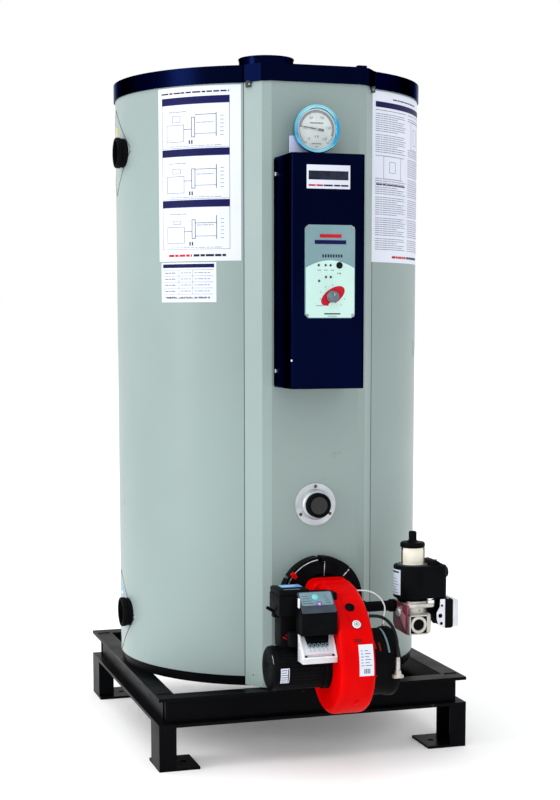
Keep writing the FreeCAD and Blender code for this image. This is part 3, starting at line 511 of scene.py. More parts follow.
def wrapped(start, end, width, low, high, step=2.5):
    """A closed strip laid round the jacket between two (angle, height) places."""
    scale = math.radians(1) * JACKET_RADIUS
    run = Vector(((end[0] - start[0]) * scale, end[1] - start[1]))
    across = Vector((-run.y, run.x)).normalized() * width / 2
    count = max(1, int(abs(end[0] - start[0]) / step))
    bm = bmesh.new()
    columns = []
    for k in range(count + 1):
        angle = start[0] + (end[0] - start[0]) * k / count
        height = start[1] + (end[1] - start[1]) * k / count
        spots = []
        for side, lift in ((-1, low), (1, low), (1, high), (-1, high)):
            spots.append(bm.verts.new(on_jacket(angle + side * across.x / scale,
                                                height + side * across.y, lift)))
        columns.append(spots)
    return bridged(bm, columns)


def facing(direction, spin=0.0):
    """Matrix that turns +Z toward a direction."""
    turn = Vector(direction).to_track_quat("Z", "Y").to_matrix().to_4x4()
    return turn @ Matrix.Rotation(spin, 4, "Z")


def pan_screw(piece, place, direction, radius=3.5, material="zinc", spin=0.5):
    """A pan-head screw seated on a face; its cross recess is painted shade, a dark cross laid on the head.
    """
    height = radius * 0.62
    turn = Matrix.Translation(Vector(place)) @ facing(direction, spin)
    head = lathe([(0, -0.4), (radius, -0.4), (radius, height * 0.35), (radius * 0.82, height * 0.8),
                  (radius * 0.5, height * 0.97), (0, height)], (0, 0, 0), "z", 16)
    piece.add(head, material, turn)
    # Painted shade: two dark bars on the head stand in for the shaded cross recess.
    for long_side in (0, 1):
        half = [radius * 0.5, radius * 0.11]
        if long_side:
            half.reverse()
        slot = box((-half[0], -half[1], height * 0.8), (half[0], half[1], height * 1.02))
        piece.add(slot, "seam_dark", turn)


def hex_bolt(piece, place, direction, radius=5.0, height=4.0, material="zinc", spin=0.0):
    """A hexagon head on a washer."""
    turn = Matrix.Translation(Vector(place)) @ facing(direction, spin)
    piece.add(lathe(rounded(radius * 1.3, -0.4, 0.9, 0.3), (0, 0, 0), "z", 20), material, turn)
    piece.add(lathe([(0, 0.6), (radius, 0.6), (radius, height * 0.85), (radius * 0.86, height),
                     (0, height)], (0, 0, 0), "z", 6), material, turn)


# -------------------------------------------------------------------- jacket

jacket_low, jacket_high = node_box("jacket_right")
cap_low, cap_high = node_box("top_cap")
FACE_Y = node_box("front_panel")[0].y

sheets = Piece("instruction_sheets")


def strip(left, right, low, high, material, lift=0.55):
    """A flat mark on the jacket, between two angles and two heights."""
    sheets.add(wrapped((left, (low + high) / 2), (right, (low + high) / 2), high - low,
                       lift - 0.25, lift), material)


def frame_lines(left, right, low, high, line=0.8, material="ink_grey"):
    """The four sides of a ruled box."""
    thin = math.degrees(line / JACKET_RADIUS)
    strip(left, right, high - line, high, material)
    strip(left, right, low, low + line, material)
    strip(left, left + thin, low, high, material)
    strip(right - thin, right, low, high, material)


def dashes(left, right, height, thick, lengths, material, gap=0.35):
    """A broken line that stands in for a row of print."""
    here, turn = left, 0
    while here < right:
        reach = min(right, here + lengths[turn % len(lengths)])
        strip(here, reach, height - thick / 2, height + thick / 2, material)
        here, turn = reach + gap, turn + 1


SHEET_LOW = 1087.0
SHEET_TOP = cap_low.z - 3.0

# left sheet: three navy bars over boxed line schematics
LEFT, RIGHT = -58.5, -25.5
strip(LEFT, RIGHT, SHEET_LOW, SHEET_TOP, "paper", 0.3)
dashes(LEFT + 1.6, RIGHT - 4.2, 1443, 3.2, (3.2, 1.4, 4.6, 2.2), "ink_dark", 0.5)
for block, (bar_top, box_low) in enumerate(((1434, 1327), (1325, 1219), (1217, 1112))):
    strip(LEFT + 1.8, RIGHT - 4.0, bar_top - 15, bar_top, "ink_navy")
    frame_lines(LEFT + 1.8, RIGHT - 4.0, box_low, bar_top - 15)
    mid = (bar_top + box_low) / 2 - 7
    tank = LEFT + 4.0
    frame_lines(tank, tank + 7.5, box_low + 13, mid + 3, 1.0)
    frame_lines(tank + 2.5, tank + 6.0, mid + 8, mid + 22 - block * 3, 0.9)
    frame_lines(tank + 10.5, tank + 12.0, box_low + 22, mid + 18, 1.2, "ink_navy")
    strip(tank + 7.5, tank + 10.5, mid - 8, mid - 7, "ink_dark")
    strip(tank + 12.0, tank + 20.0, mid + 22 - block * 6, mid + 23 - block * 6, "ink_dark")
    strip(tank + 12.0, tank + 20.0, mid - 18, mid - 17, "ink_grey")
    strip(tank + 20.0, tank + 20.2, mid - 24, mid + 26, "ink_dark")
    for rung in range(6):
        height = mid - 22 + rung * 8
        strip(tank + 21.6, tank + 22.8, height, height + 1.0, "ink_grey")
    for foot in range(2):
        strip(tank + 9.5 + foot, tank + 10.0 + foot, box_low + 8, box_low + 16, "ink_dark")
    dashes(tank + 1.0, tank + 8.5, mid + 30, 1.2, (1.6, 0.8, 2.4), "ink_grey", 0.3)
    dashes(tank + 12.5, tank + 19.0, mid + 6, 1.2, (1.8, 2.2, 1.0), "ink_grey", 0.3)
    dashes(tank + 1.0, tank + 22.0, box_low + 4, 1.0, (2.6, 1.2, 0.8), "ink_grey", 0.5)
dashes(LEFT + 4.6, LEFT + 14.5, 1099, 5.0, (2.4, 1.5), "ink_red", 0.4)
dashes(LEFT + 15.2, RIGHT - 5.5, 1099, 5.0, (2.3, 1.7, 3.1), "ink_dark", 0.4)

# small plate under it: a ruled table
strip(-57.6, -34.6, 999, 1084, "paper", 0.3)
strip(-56.8, -35.4, 1073, 1081, "ink_navy")
for row in range(5):
    height = 1068 - row * 13
    strip(-56.4, -35.8, height, height + 0.7, "ink_grey")
    dashes(-55.8, -50.8, height - 6, 1.6, (1.5, 0.9), "ink_dark", 0.3)
    dashes(-48.8, -44.4, height - 6, 1.4, (1.1, 1.7), "ink_grey", 0.3)
    dashes(-43.0, -37.0, height - 6, 1.4, (0.9, 2.1), "ink_grey", 0.4)
for edge in (-49.6, -43.8):
    strip(edge, edge + 0.1, 1016, 1068, "ink_grey")
dashes(-55.0, -37.0, 1008, 1.8, (2.8, 1.4, 3.2), "ink_dark", 0.4)

# right sheet: two columns of fine rows with small drawings
LEFT, RIGHT = 24.0, 71.0
strip(LEFT, RIGHT, SHEET_LOW, SHEET_TOP, "paper", 0.3)
dashes(LEFT + 12, RIGHT - 14, 1441, 2.6, (2.6, 1.5, 3.4), "ink_dark", 0.5)
strip(LEFT + 2, RIGHT - 2, 1421, 1433, "ink_navy")
for column, (left, right) in enumerate(((26.0, 46.0), (48.4, 69.0))):
    height = 1415.0
    row = 0
    while height > 1112:
        drawing = column == 0 and 1270 < height < 1316 or column == 1 and 1340 < height < 1400
        if not drawing:
            reach = right - (0.0, 1.2, 0.4, 6.5, 0.8, 2.4)[row % 6]
            dashes(left, reach, height, 1.2, (2.3, 1.1, 3.0, 1.7), "ink_grey", 0.35)
        height -= 4.6 if row % 9 else 8.0
        row += 1
frame_lines(30.5, 42.0, 1268, 1318)
frame_lines(34.0, 38.0, 1282, 1306)
frame_lines(52.0, 65.0, 1342, 1402)
frame_lines(55.0, 60.0, 1352, 1388)
dashes(26.5, 45.5, 1256, 2.4, (3.2, 1.8, 4.1), "ink_dark", 0.4)
dashes(36.0, 47.0, 1099, 5.0, (2.4, 1.5), "ink_red", 0.4)
dashes(47.8, 62.0, 1099, 5.0, (2.3, 1.7, 3.1), "ink_dark", 0.4)

# two small stickers by the water ports
strip(-95.0, -91.6, 1376, 1394, "label_yellow", 0.3)
strip(-94.6, -90.2, 316, 338, "label_blue", 0.3)
strip(-94.2, -90.6, 320, 326, "paper", 0.5)
sheets.done()

seams = Piece("jacket_seams", "jacket_grey")
port_z = node_middle("water_port_upper").z
return_z = node_middle("water_port_lower").z
for centre, tip in ((port_z + 5, -75.8), (return_z - 8, -77.0)):
    far = -112.0
    middle = (tip + far) / 2
    corners = [(tip, centre), (middle, min(centre + 96, jacket_high.z - 40)), (far, centre),
               (middle, max(centre - 96, jacket_low.z + 3))]
    for first, second in zip(corners, corners[1:] + corners[:1]):
        seams.add(wrapped(first, second, 2.6, -0.4, 0.35), "seam_dark")
for angle in (-24.6, 24.6, 155.4, -155.4):
    seams.add(wrapped((angle, jacket_low.z + 1), (angle, cap_low.z), 1.6, -2.0, 0.1), "seam_dark")
seams.done()

screws = Piece("jacket_screws")
for angle, height in ((-76.0, port_z + 5), (-77.3, return_z - 8), (-111.5, port_z + 5),
                      (-111.5, return_z - 8)):
    pan_screw(screws, on_jacket(angle, height), on_jacket(angle, 0).normalized(), 4.0)
for angle in (-159.0, 159.0):
    for k in range(5):
        height = jacket_low.z + 60 + k * 290
        pan_screw(screws, on_jacket(angle, height), on_jacket(angle, 0).normalized(), 3.6)
for height in (jacket_low.z + 8, cap_low.z - 8):
    for side in (-1, 1):
        pan_screw(screws, (side * 131, -336.6, height), (side * 0.5, -0.86, 0), 3.6)
screws.done()

# ------------------------------------------------------------- lid and flue

lid = Piece("lid_details", "navy_paint")
for side in (-1, 1):
    lid.add(box((side * 148.5 - 0.7, -325.2, cap_low.z + 0.5),
                (side * 148.5 + 0.7, -318.0, cap_high.z + 0.2), 0.4))
lid.add(box((93, -365.0, cap_high.z - 1), (115, -352, cap_high.z + 4.5), 2.0, 3))
collar_high = node_box("flue_collar")[1]
COLLAR_RADIUS = 63.5
lid.add(lathe(ring(COLLAR_RADIUS - 3.2, COLLAR_RADIUS + 1.4, collar_high.z - 4, collar_high.z, 1.2),
              (0, 0, 0), "z", 96, True))
lid.add(tube([(*around((0, 0), COLLAR_RADIUS, 90 - 5 * k), cap_high.z + 4.2) for k in range(73)],
             1.7, 8))
pan_screw(lid, (-34.0, -54.0, cap_high.z + 46), (-0.53, -0.85, 0), 2.6)
pan_screw(lid, (40.0, 49.4, cap_high.z + 46), (0.63, 0.78, 0), 2.6)
for k in range(8):
    spot = around((0, 0), cap_high.y * 0.93, 158 - 45 * k)
    pan_screw(lid, (*spot, cap_high.z), UP, 3.4)
lid.done()

clips = Piece("lid_clips")
for side in (-1, 1):
    clips.add(box((side * 139 - 5, -338, cap_low.z - 11), (side * 139 + 5, -325, cap_low.z + 2), 1.0),
              "seam_dark")
    pan_screw(clips, (side * 139, -338, cap_low.z - 5), (side * 0.4, -0.9, 0), 2.4)
clips.done()

# --------------------------------------------------------------- control box

box_low, box_high = node_box("control_box")


def folded_outline(left, right, back, front, radius):
    """Plan of a folded cover: square at the back, rounded at its two front edges."""
    points = [(left, back)]
    for middle, start in ((left + radius, -90), (right - radius, -180)):
        points += [around((middle, front + radius), radius, start - 15 * k) for k in range(7)]
    return points + [(right, back)]


cover = Piece("control_box_cover", "navy_paint", replaces=("control_box",))
plan = folded_outline(box_low.x, box_high.x, box_high.y, box_low.y, 9.0)
cover.add(prism(plan, box_low.z, box_high.z, "z", 1.2, 2, 50))
for left, right in ((box_low.x - 0.6, box_low.x + 2), (box_high.x - 2, box_high.x + 0.6)):
    cover.add(box((left, box_high.y - 9, box_low.z + 4),
                  (right, box_high.y - 0.2, box_high.z - 4), 0.4))
cover.done()

box_screws = Piece("control_box_screws")
for side_x, outward in ((box_low.x, -1), (box_high.x, 1)):
    for height in (box_high.z - 35, box_low.z + 34):
        pan_screw(box_screws, (side_x, box_high.y - 13, height), (outward, 0, 0), 4.6)
        # Painted shade: a dark disc beside each screw stands in for a hole, dark with the shade inside it.
        hole = lathe(rounded(1.8, -0.6, 0.25, 0.1), (side_x, box_high.y - 29, height), "x", 16)
        box_screws.add(hole, "seam_dark")
box_screws.add(lathe(rounded(2.2, -0.8, 0.5, 0.3), (box_low.x + 1.4, box_low.y + 3.0, 878), "y", 14),
               "tube_white")
box_screws.done()

label = Piece("blank_label")
front_y = box_low.y
label.add(box((-61, front_y - 0.7, 1228), (33, front_y + 0.5, 1276), 0.3), "paper")
label.add(box((-57, front_y - 0.9, 1246), (29, front_y - 0.3, 1264)), "ink_dark")
for k, (left, right) in enumerate(((-57, -42), (-40, -26), (-24, -5), (-2, 11), (13, 29))):
    label.add(box((left, front_y - 0.9, 1233), (right, front_y - 0.3, 1236.4)),
              "ink_red" if k < 2 else "ink_dark")
label.done()

# ------------------------------------------------------------- control plate

plate_low, plate_high = node_box("control_plate")
PLATE_Y = plate_low.y
knob_low, knob_high = node_box("temperature_knob")
knob_x, _, knob_z = node_middle("temperature_knob")

mint = Piece("control_plate_print")
crest, fall = plate_high.z - 72, 15.5
half = (plate_high.x - plate_low.x) / 2 - 1.2
centre_x = (plate_high.x + plate_low.x) / 2
outline = [(centre_x - half, plate_low.z + 8), (centre_x - half + 6.8, plate_low.z + 1.2),
           (centre_x + half - 6.8, plate_low.z + 1.2), (centre_x + half, plate_low.z + 8)]
for k in range(25):
    across = 1 - 2 * k / 24
    outline.append((centre_x + half * across, crest - fall * across ** 2))
mint.add(prism(outline, PLATE_Y - 0.35, PLATE_Y + 0.2, "y"), "plate_mint")


def on_plate(left, right, low, high, material, lift=0.6):
    """A flat mark on the control plate."""
    mint.add(box((left, PLATE_Y - lift, low), (right, PLATE_Y - 0.1, high)), material)


top = plate_high.z
on_plate(-33.6, 13.4, top - 26, top - 19, "ink_red")
on_plate(-44.6, 23.4, top - 39, top - 31, "ink_navy")
for k in range(8):
    on_plate(-28 + k * 5.7, -25 + k * 5.7, top - 66, top - 60, "ink_dark")
for k in range(3):
    on_plate(-38.6 + k * 14, -30.6 + k * 14, top - 92.6, top - 91.4, "ink_grey")
    on_plate(5 + k * 3, 6.2 + k * 3, top - 100, top - 97, "ink_dark")
on_plate(-41.6, -25.6, top - 165, top - 164, "ink_grey")
on_plate(-23.6, 11.4, top - 182.5, top - 180, "ink_dark")
on_plate(-15.6, 4.4, top - 186.6, top - 185.6, "ink_grey")


def ellipse(centre, long_half, short_half, tilt, low, high, count=40):
    """An ellipse tilted by degrees in the plate's plane, extruded along Y."""
    turn = math.radians(tilt)
    points = []
    for k in range(count):
        a = 2 * math.pi * k / count
        x, z = long_half * math.cos(a), short_half * math.sin(a)
        points.append((centre[0] + x * math.cos(turn) - z * math.sin(turn),
                       centre[1] + x * math.sin(turn) + z * math.cos(turn)))
    return prism(points, low, high, "y")


mint.add(ellipse((knob_x + 1, knob_z + 1.5), 29, 15, 33, PLATE_Y - 0.7, PLATE_Y - 0.2), "ink_red")
mint.add(ellipse((knob_x + 0.5, knob_z - 17), 9, 5.5, 0, PLATE_Y - 0.9, PLATE_Y - 0.5), "plate_mint")
for k in range(9):
    a = math.radians(-135 + k * 33.75)
    mint.add(lathe(rounded(0.9, 0.1, 0.75, 0.2), (knob_x + 27 * math.sin(a), PLATE_Y,
                                                 knob_z + 24 * math.cos(a)), "y", 10), "ink_dark")
for x, z in ((-36.2, 1073), (-21.2, 1073), (-10.5, 1073), (-35.2, 1041), (-20.4, 1049), (-10, 1049)):
    mint.add(lathe(ring(2.1, 3.3, -0.2, 1.0, 0.3), (x, PLATE_Y, z), "y", 20, True), "pale_steel")
    mint.add(lathe([(0, -0.2), (2.2, -0.2), (2.2, 0.8), (1.5, 1.5), (0, 1.8)], (x, PLATE_Y, z),
                   "y", 20), "dark_glass")
mint.add(lathe(ring(4.6, 6.8, -0.2, 1.8, 0.5), (8.9, PLATE_Y, 1073), "y", 28, True), "black_plastic")
mint.add(lathe(rounded(4.8, -0.2, 3.6, 1.2), (8.9, PLATE_Y, 1073), "y", 28), "control_grey")
for x in (plate_low.x + 4.5, plate_high.x - 4.5):
    for z in (plate_low.z + 5.5, plate_high.z - 5.5):
        pan_screw(mint, (x, PLATE_Y - 0.3, z), FRONT, 3.4)
mint.done()

knob = Piece("temperature_knob_cap", "knob_grey", body="knob", replaces=("temperature_knob",), sharp=30)
knob_radius = (knob_high.x - knob_low.x) / 2
depth = PLATE_Y - knob_low.y
knob.add(lathe([(0, -13), (3, -13), (3, 0.6), (knob_radius, 0.6), (knob_radius, 4),
                (knob_radius - 1.6, 6), (knob_radius - 2.2, depth - 1.2), (knob_radius - 3.2, depth),
                (knob_radius - 5, depth), (knob_radius - 5.6, depth - 0.7), (0, depth - 0.7)],
               (knob_x, PLATE_Y, knob_z), "y", 48))
for k in range(24):
    x, z = around((knob_x, knob_z), knob_radius - 1.9, 90 - 15 * k)
    knob.add(tube([(x, PLATE_Y - 6, z), (x, knob_low.y + 1.2, z)], 0.55, 6))
knob.add(box((knob_x - 0.6, knob_low.y, knob_z + 2), (knob_x + 0.6, knob_low.y + 1.2,
              knob_z + knob_radius - 3.4), 0.2), "knob_line")
knob.done()

# --------------------------------------------------------------- thermometer

case_low, case_high = node_box("thermometer_case")
dial_x, _, dial_z = node_middle("thermometer_case")
dial_radius = (case_high.x - case_low.x) / 2
glass_low, glass_high = node_box("thermometer_glass")
face_radius = (glass_high.x - glass_low.x) / 2
DIAL_Y = case_low.y
FACE_DEPTH = DIAL_Y + 6.0

# The shell's cyan chrome is a painted reflection: its colour stands in for blue surroundings mirrored in
# the bezel.
case = Piece("thermometer_shell", "dial_chrome", replaces=("thermometer_case",), sharp=50)
case.add(lathe([(0, 0), (9, 0), (9, 20), (14, 23), (dial_radius - 5, 24), (dial_radius - 2.2, 26),
                (dial_radius - 1.6, 40), (dial_radius - 0.4, 42), (dial_radius, 43.5),
                (dial_radius - 0.4, 45.2), (dial_radius - 2.2, 46), (face_radius + 2.2, 45.6),
                (face_radius + 0.6, 44.6), (face_radius, 43.2), (face_radius, 40), (0, 40)],
               (dial_x, FACE_Y, dial_z), "y", 128))
case.done()

dial = Piece("thermometer_dial")
dial.add(lathe(rounded(face_radius, -0.2, 0.3, 0.1), (dial_x, FACE_DEPTH, dial_z), "y", 96),
         "dial_face")


def dial_arc(start, end, inner, outer, material):
    """A printed arc on the dial; its radii are shares of the face's."""
    points = band((dial_x, dial_z), start, end, face_radius * inner, face_radius * outer, 40)
    dial.add(prism(points, FACE_DEPTH - 0.45, FACE_DEPTH - 0.1, "y"), material)


def dial_tick(angle, inner, outer, width):
    """A printed tick on the dial; its ends are shares of the face's radius."""
    bar = box((-width / 2, -0.2, face_radius * inner), (width / 2, 0.2, face_radius * outer))
    dial.add(bar, "ink_dark", spun((dial_x, FACE_DEPTH - 0.55, dial_z), angle, "Y"))


DIAL_START = -140
TICK_STEP = 5.6
TICKS = 50
dial_arc(DIAL_START, -DIAL_START, 0.90, 0.93, "ink_dark")
dial_arc(-84, 112, 0.80, 0.90, "dial_band")
for k in range(TICKS + 1):
    if k % 10:
        dial_tick(DIAL_START + TICK_STEP * k, 0.85, 0.92, 0.4)
    else:
        dial_tick(DIAL_START + TICK_STEP * k, 0.78, 0.92, 0.9)
for k in range(6):
    x, z = around((dial_x, dial_z), face_radius * 0.62, DIAL_START + 10 * TICK_STEP * k)
    text = bpy.data.curves.new("figures", "FONT")
    text.body = str(30 * k)
    text.size = 8.0
    text.align_x, text.align_y = "CENTER", "CENTER"
    text.extrude = 0.12
    holder = bpy.data.objects.new("figures", text)
    bpy.context.scene.collection.objects.link(holder)
    bpy.context.view_layer.update()
    figure = bmesh.new()
    flat = bpy.data.meshes.new_from_object(holder)
    figure.from_mesh(flat)
    bpy.data.objects.remove(holder)
    bpy.data.curves.remove(text)
    bpy.data.meshes.remove(flat)
    dial.add(figure, "ink_dark", spun((x, FACE_DEPTH - 0.4, z), 90, "X"))
for left, right, low, high in ((-15, 15, 11, 14), (-11, 10, -31, -29), (-3, 3, -36.5, -35),
                               (-4, -2, -17, -13), (1, 4, -17, -13)):
    dial.add(box((dial_x + left, FACE_DEPTH - 0.6, dial_z + low),
                 (dial_x + right, FACE_DEPTH - 0.1, dial_z + high)), "ink_grey")
NEEDLE_ANGLE = -81
spin = spun((dial_x, FACE_DEPTH - 1.6, dial_z), NEEDLE_ANGLE, "Y")
dial.add(prism([(-1.7, -3), (1.7, -3), (1.1, face_radius * 0.55), (0.3, face_radius * 0.84),
                (-0.3, face_radius * 0.84), (-1.1, face_radius * 0.55)], -0.35, 0.35, "y"),
         "ink_dark", spin)
dial.add(box((-2.8, -0.35, -16), (2.8, 0.35, -4), 0.3), "ink_dark", spin)
dial.add(lathe(rounded(3.2, -1.6, 1.2, 0.6), (dial_x, FACE_DEPTH - 1.2, dial_z), "y", 24), "zinc")
dial.done()

bracket_low, bracket_high = node_box("thermometer_bracket")
bracket = Piece("thermometer_bracket_sheet", "pale_steel", replaces=("thermometer_bracket",))
bracket.add(box((bracket_low.x, FACE_Y - 24, bracket_low.z), (bracket_high.x, FACE_Y - 21.5,
                 bracket_high.z), 0.7), "bracket_lilac")
bracket.add(box((bracket_low.x, bracket_low.y, bracket_low.z), (bracket_high.x, bracket_high.y,
                 bracket_low.z + 2.5), 0.7), "bracket_lilac")
bracket.done()

# ---------------------------------------------------- sight port, water ports

sight_z = node_middle("sight_housing").z
sight = Piece("sight_port_housing", "black_iron", replaces=("sight_housing",))
sight.add(lathe([(19, 3), (27, 3), (27, 29), (25.6, 32), (23, 33), (21, 32), (19.6, 29), (19, 25)],
                (0, FACE_Y, sight_z), "y", 64, True))
sight.add(lathe([(27, 3), (33.5, 3), (33, 10), (31, 14.5), (29, 16), (27, 16.4)],
                (0, FACE_Y, sight_z), "y", 64, True), "pale_steel")
for angle in (0, 122, 238):
    x, z = around((0, sight_z), 39.5, angle)
    pan_screw(sight, (x, FACE_Y - 3, z), FRONT, 3.6, "brass_dull")
sight.done()

ports = Piece("water_port_rings", "black_iron")
start = node_box("water_port_upper")[0].x
y = node_middle("water_port_upper").y
for height in (port_z, return_z):
    ports.add(lathe([(28.2, start + 14), (28.2, start + 1.5), (29.5, start), (32.6, start),
                     (33.8, start + 1.6), (33.8, start + 10), (32, start + 12)],
                    (0, y, height), "x", 64, True), "rubber")
    thread = [(28.4, start + 16)]
    for k in range(12):
        thread += [(27.9, start + 17 + k * 2.3), (26.8, start + 18.1 + k * 2.3)]
    ports.add(lathe(thread + [(28.4, start + 46)], (0, y, height), "x", 48, True))
ports.done()

# -------------------------------------------------------------------- burner

# Middles of the burner tube, as (x, z), and of the fan's shaft, as (y, z).
burner_x, _, burner_z = node_middle("burner_tube")
BURNER = (burner_x, burner_z)
flange_low, flange_high = node_box("burner_flange")
FLANGE_Y = flange_low.y
motor_low, motor_high = node_box("burner_motor")
_, fan_y, fan_z = node_middle("burner_motor")
FAN = (fan_y, fan_z)
SCROLL_LEFT = motor_high.x + 14
SCROLL_RIGHT = node_box("air_intake")[0].x
FAN_RADIUS = 105.0
VOLUTE_GROWTH = 0.19
VOLUTE_SWEEP = 110

flange = Piece("burner_flange_disc", "black_iron", replaces=("burner_flange",))
FLANGE_RADIUS = (flange_high.x - flange_low.x) / 2
NOTCHES = ((-4, 7.5, 15), (44, 4.5, 17), (-58, 5.0, 9), (138, 5.0, 14), (-140, 5.0, 14))


def notched(radius):
    """Circle with radial notches cut into its edge."""
    points = []
    for k in range(720):
        angle = -180 + k / 2
        cut = 0.0
        for middle, width, depth in NOTCHES:
            if abs(angle - middle) < math.degrees(width / 2 / radius):
                cut = depth
        points.append(around(BURNER, radius - cut, angle))
    return points


def flange_band(start, end, inner, outer, lift, material):
    """A thin raised band on the flange's front; angles run clockwise from the top."""
    points = band(BURNER, start, end, inner, outer, 20)
    flange.add(prism(points, FLANGE_Y - lift, FLANGE_Y + 0.5, "y"), material)


flange.add(prism(notched(FLANGE_RADIUS), FLANGE_Y + 3, FACE_Y - 0.2, "y"))
flange.add(prism(notched(FLANGE_RADIUS - 2.2), FLANGE_Y, FLANGE_Y + 3.2, "y"))
flange_band(-180, 179.9, 79, 81, 0.9, "black_iron")
# Painted highlight: a bright zinc arc on the upper left of the flange's front edge stands in for that edge
# catching the light from the left.
flange_band(-66, -8, FLANGE_RADIUS - 5.4, FLANGE_RADIUS - 3.6, 0.8, "zinc")
for angle, inner, outer, width in ((2.5, 50, 82, 1.6), (44, 66, 86, 2.4)):
    bar = box((-width / 2, FLANGE_Y - 0.9, inner), (width / 2, FLANGE_Y + 0.4, outer), 0.4)
    flange.add(bar, "zinc", spun((burner_x, 0, burner_z), angle, "Y"))
clip = box((-4.5, FLANGE_Y - 8, -7), (4.5, FLANGE_Y + 1, 7), 1.5)
flange.add(clip, "burner_red", spun((-59, 0, 414), -40.1, "Y"))
for angle in (22, 70, 110, 165, -165, -100):
    x, z = around(BURNER, 73, angle)
    hex_bolt(flange, (x, FLANGE_Y, z), FRONT, 4.2, 4.0, "black_iron", math.radians(angle))
flange.done()


def on_fan(angle):
    """Point (y, z) on the scroll; the angle runs upward from straight ahead."""
    reach = FAN_RADIUS * (1 + VOLUTE_GROWTH * max(0, math.radians(angle)) ** 2)
    return around(FAN, reach, angle - 90)


SCROLL = [(FLANGE_Y, on_fan(VOLUTE_SWEEP)[1])]
SCROLL += [on_fan(VOLUTE_SWEEP - 2.5 * k) for k in range(45)]
SCROLL += [on_fan(-5 * k) for k in range(1, 34)]
SCROLL += [(FLANGE_Y, on_fan(-165)[1])]


def pillow(outline, left, right, edge, steps=6):
    """Prism along X whose two side edges are rounded over."""
    count = len(outline)
    area = sum(a[0] * b[1] - b[0] * a[1] for a, b in zip(outline, outline[1:] + outline[:1]))
    sign = 1 if area > 0 else -1
    inward = []
    for k, here in enumerate(outline):
        normals = []
        for a, b in ((outline[k - 1], here), (here, outline[(k + 1) % count])):
            along = Vector((b[0] - a[0], b[1] - a[1]))
            normals.append(Vector((-along.y, along.x)).normalized() * sign)
        normal = (normals[0] + normals[1]).normalized()
        inward.append(normal / max(0.5, normal.dot(normals[0])))
    turns = [math.radians(90 * k / steps) for k in range(steps + 1)]
    stations = [(edge * (1 - math.sin(turn)), edge * (1 - math.cos(turn))) for turn in turns]
    slices = [(left + along, inset) for along, inset in reversed(stations)]
    slices += [(right - along, inset) for along, inset in stations]
    bm = bmesh.new()
    loops = [[bm.verts.new((x, p[0] + n.x * inset, p[1] + n.y * inset))
              for p, n in zip(outline, inward)] for x, inset in slices]
    return bridged(bm, loops)


def rounded_plan(low_a, high_a, low_b, high_b, corner, steps=6):
    """Rectangle with rounded corners, as pairs."""
    points = []
    for a, b, start in ((high_a - corner, high_b - corner, 90),
                        (low_a + corner, high_b - corner, 0),
                        (low_a + corner, low_b + corner, -90),
                        (high_a - corner, low_b + corner, -180)):
        points += [around((a, b), corner, start - 90 * k / steps) for k in range(steps + 1)]
    return points


housing = Piece("burner_casting", "burner_red", replaces=("burner_housing",), sharp=48)
housing.add(pillow(SCROLL, SCROLL_LEFT, SCROLL_RIGHT, 13))
housing.add(prism(rounded_plan(-30, 62, burner_z - 50, burner_z + 46, 20), FLANGE_Y - 45, FLANGE_Y,
                  "y", 5, 3, 60))
housing.add(prism(rounded_plan(-33, 65, burner_z - 53, burner_z + 47, 22), FLANGE_Y - 7, FLANGE_Y,
                  "y", 1.5, 2, 60))
housing.add(lathe(rounded(50, SCROLL_LEFT + 2, SCROLL_LEFT - 14, 3), (0, fan_y, fan_z), "x", 80),
            "black_plastic")
pipe_low, pipe_high = node_box("gas_pipe")
_, pipe_y, pipe_z = node_middle("gas_pipe")
housing.add(lathe(rounded(16, SCROLL_RIGHT - 20, pipe_low.x, 2), (0, pipe_y, pipe_z), "x", 40),
            "black_iron")
ignition_low, ignition_high = node_box("ignition_box")
housing.add(box((ignition_high.x, ignition_low.y + 12, ignition_low.z + 12),
                (0, ignition_high.y - 12, ignition_high.z - 12), 3, 3), "black_plastic")
for angle in (20, 155, 200, 290):
    hex_bolt(housing, (SCROLL_LEFT - 13.6, *around(FAN, 46, 90 - angle)), (-1, 0, 0), 2.6, 2.4,
             "black_iron", math.radians(angle))
housing.done()


def scroll_front(height, lift=0.0):
    """Point on the scroll's front at a height, and the outward direction there."""
    for a, b in zip(SCROLL[1:], SCROLL[2:]):
        if a[1] >= height >= b[1]:
            share = (a[1] - height) / (a[1] - b[1])
            along = Vector((b[0] - a[0], b[1] - a[1])).normalized()
            out = Vector((along.y, -along.x))
            if out.x > 0:
                out = -out
            return (Vector((0, a[0] + (b[0] - a[0]) * share + out.x * lift, height + out.y * lift)),
                    Vector((0, out.x, out.y)))
    raise ValueError("no scroll front at %.1f" % height)


def on_scroll(left, right, low, high, lift_low, lift_high, count=12):
    """A closed strip laid on the scroll's curved front."""
    bm = bmesh.new()
    rows = []
    for k in range(count + 1):
        height = low + (high - low) * k / count
        spots = []
        for x, lift in ((left, lift_low), (right, lift_low), (right, lift_high), (left, lift_high)):
            place = scroll_front(height, lift)[0]
            spots.append(bm.verts.new((x, place.y, place.z)))
        rows.append(spots)
    return bridged(bm, rows)


def scroll_place(across, height):
    """Matrix that seats a small part on the scroll's front."""
    place, out = scroll_front(height)
    return Matrix.Translation(Vector((across, place.y, place.z))) @ facing(out)


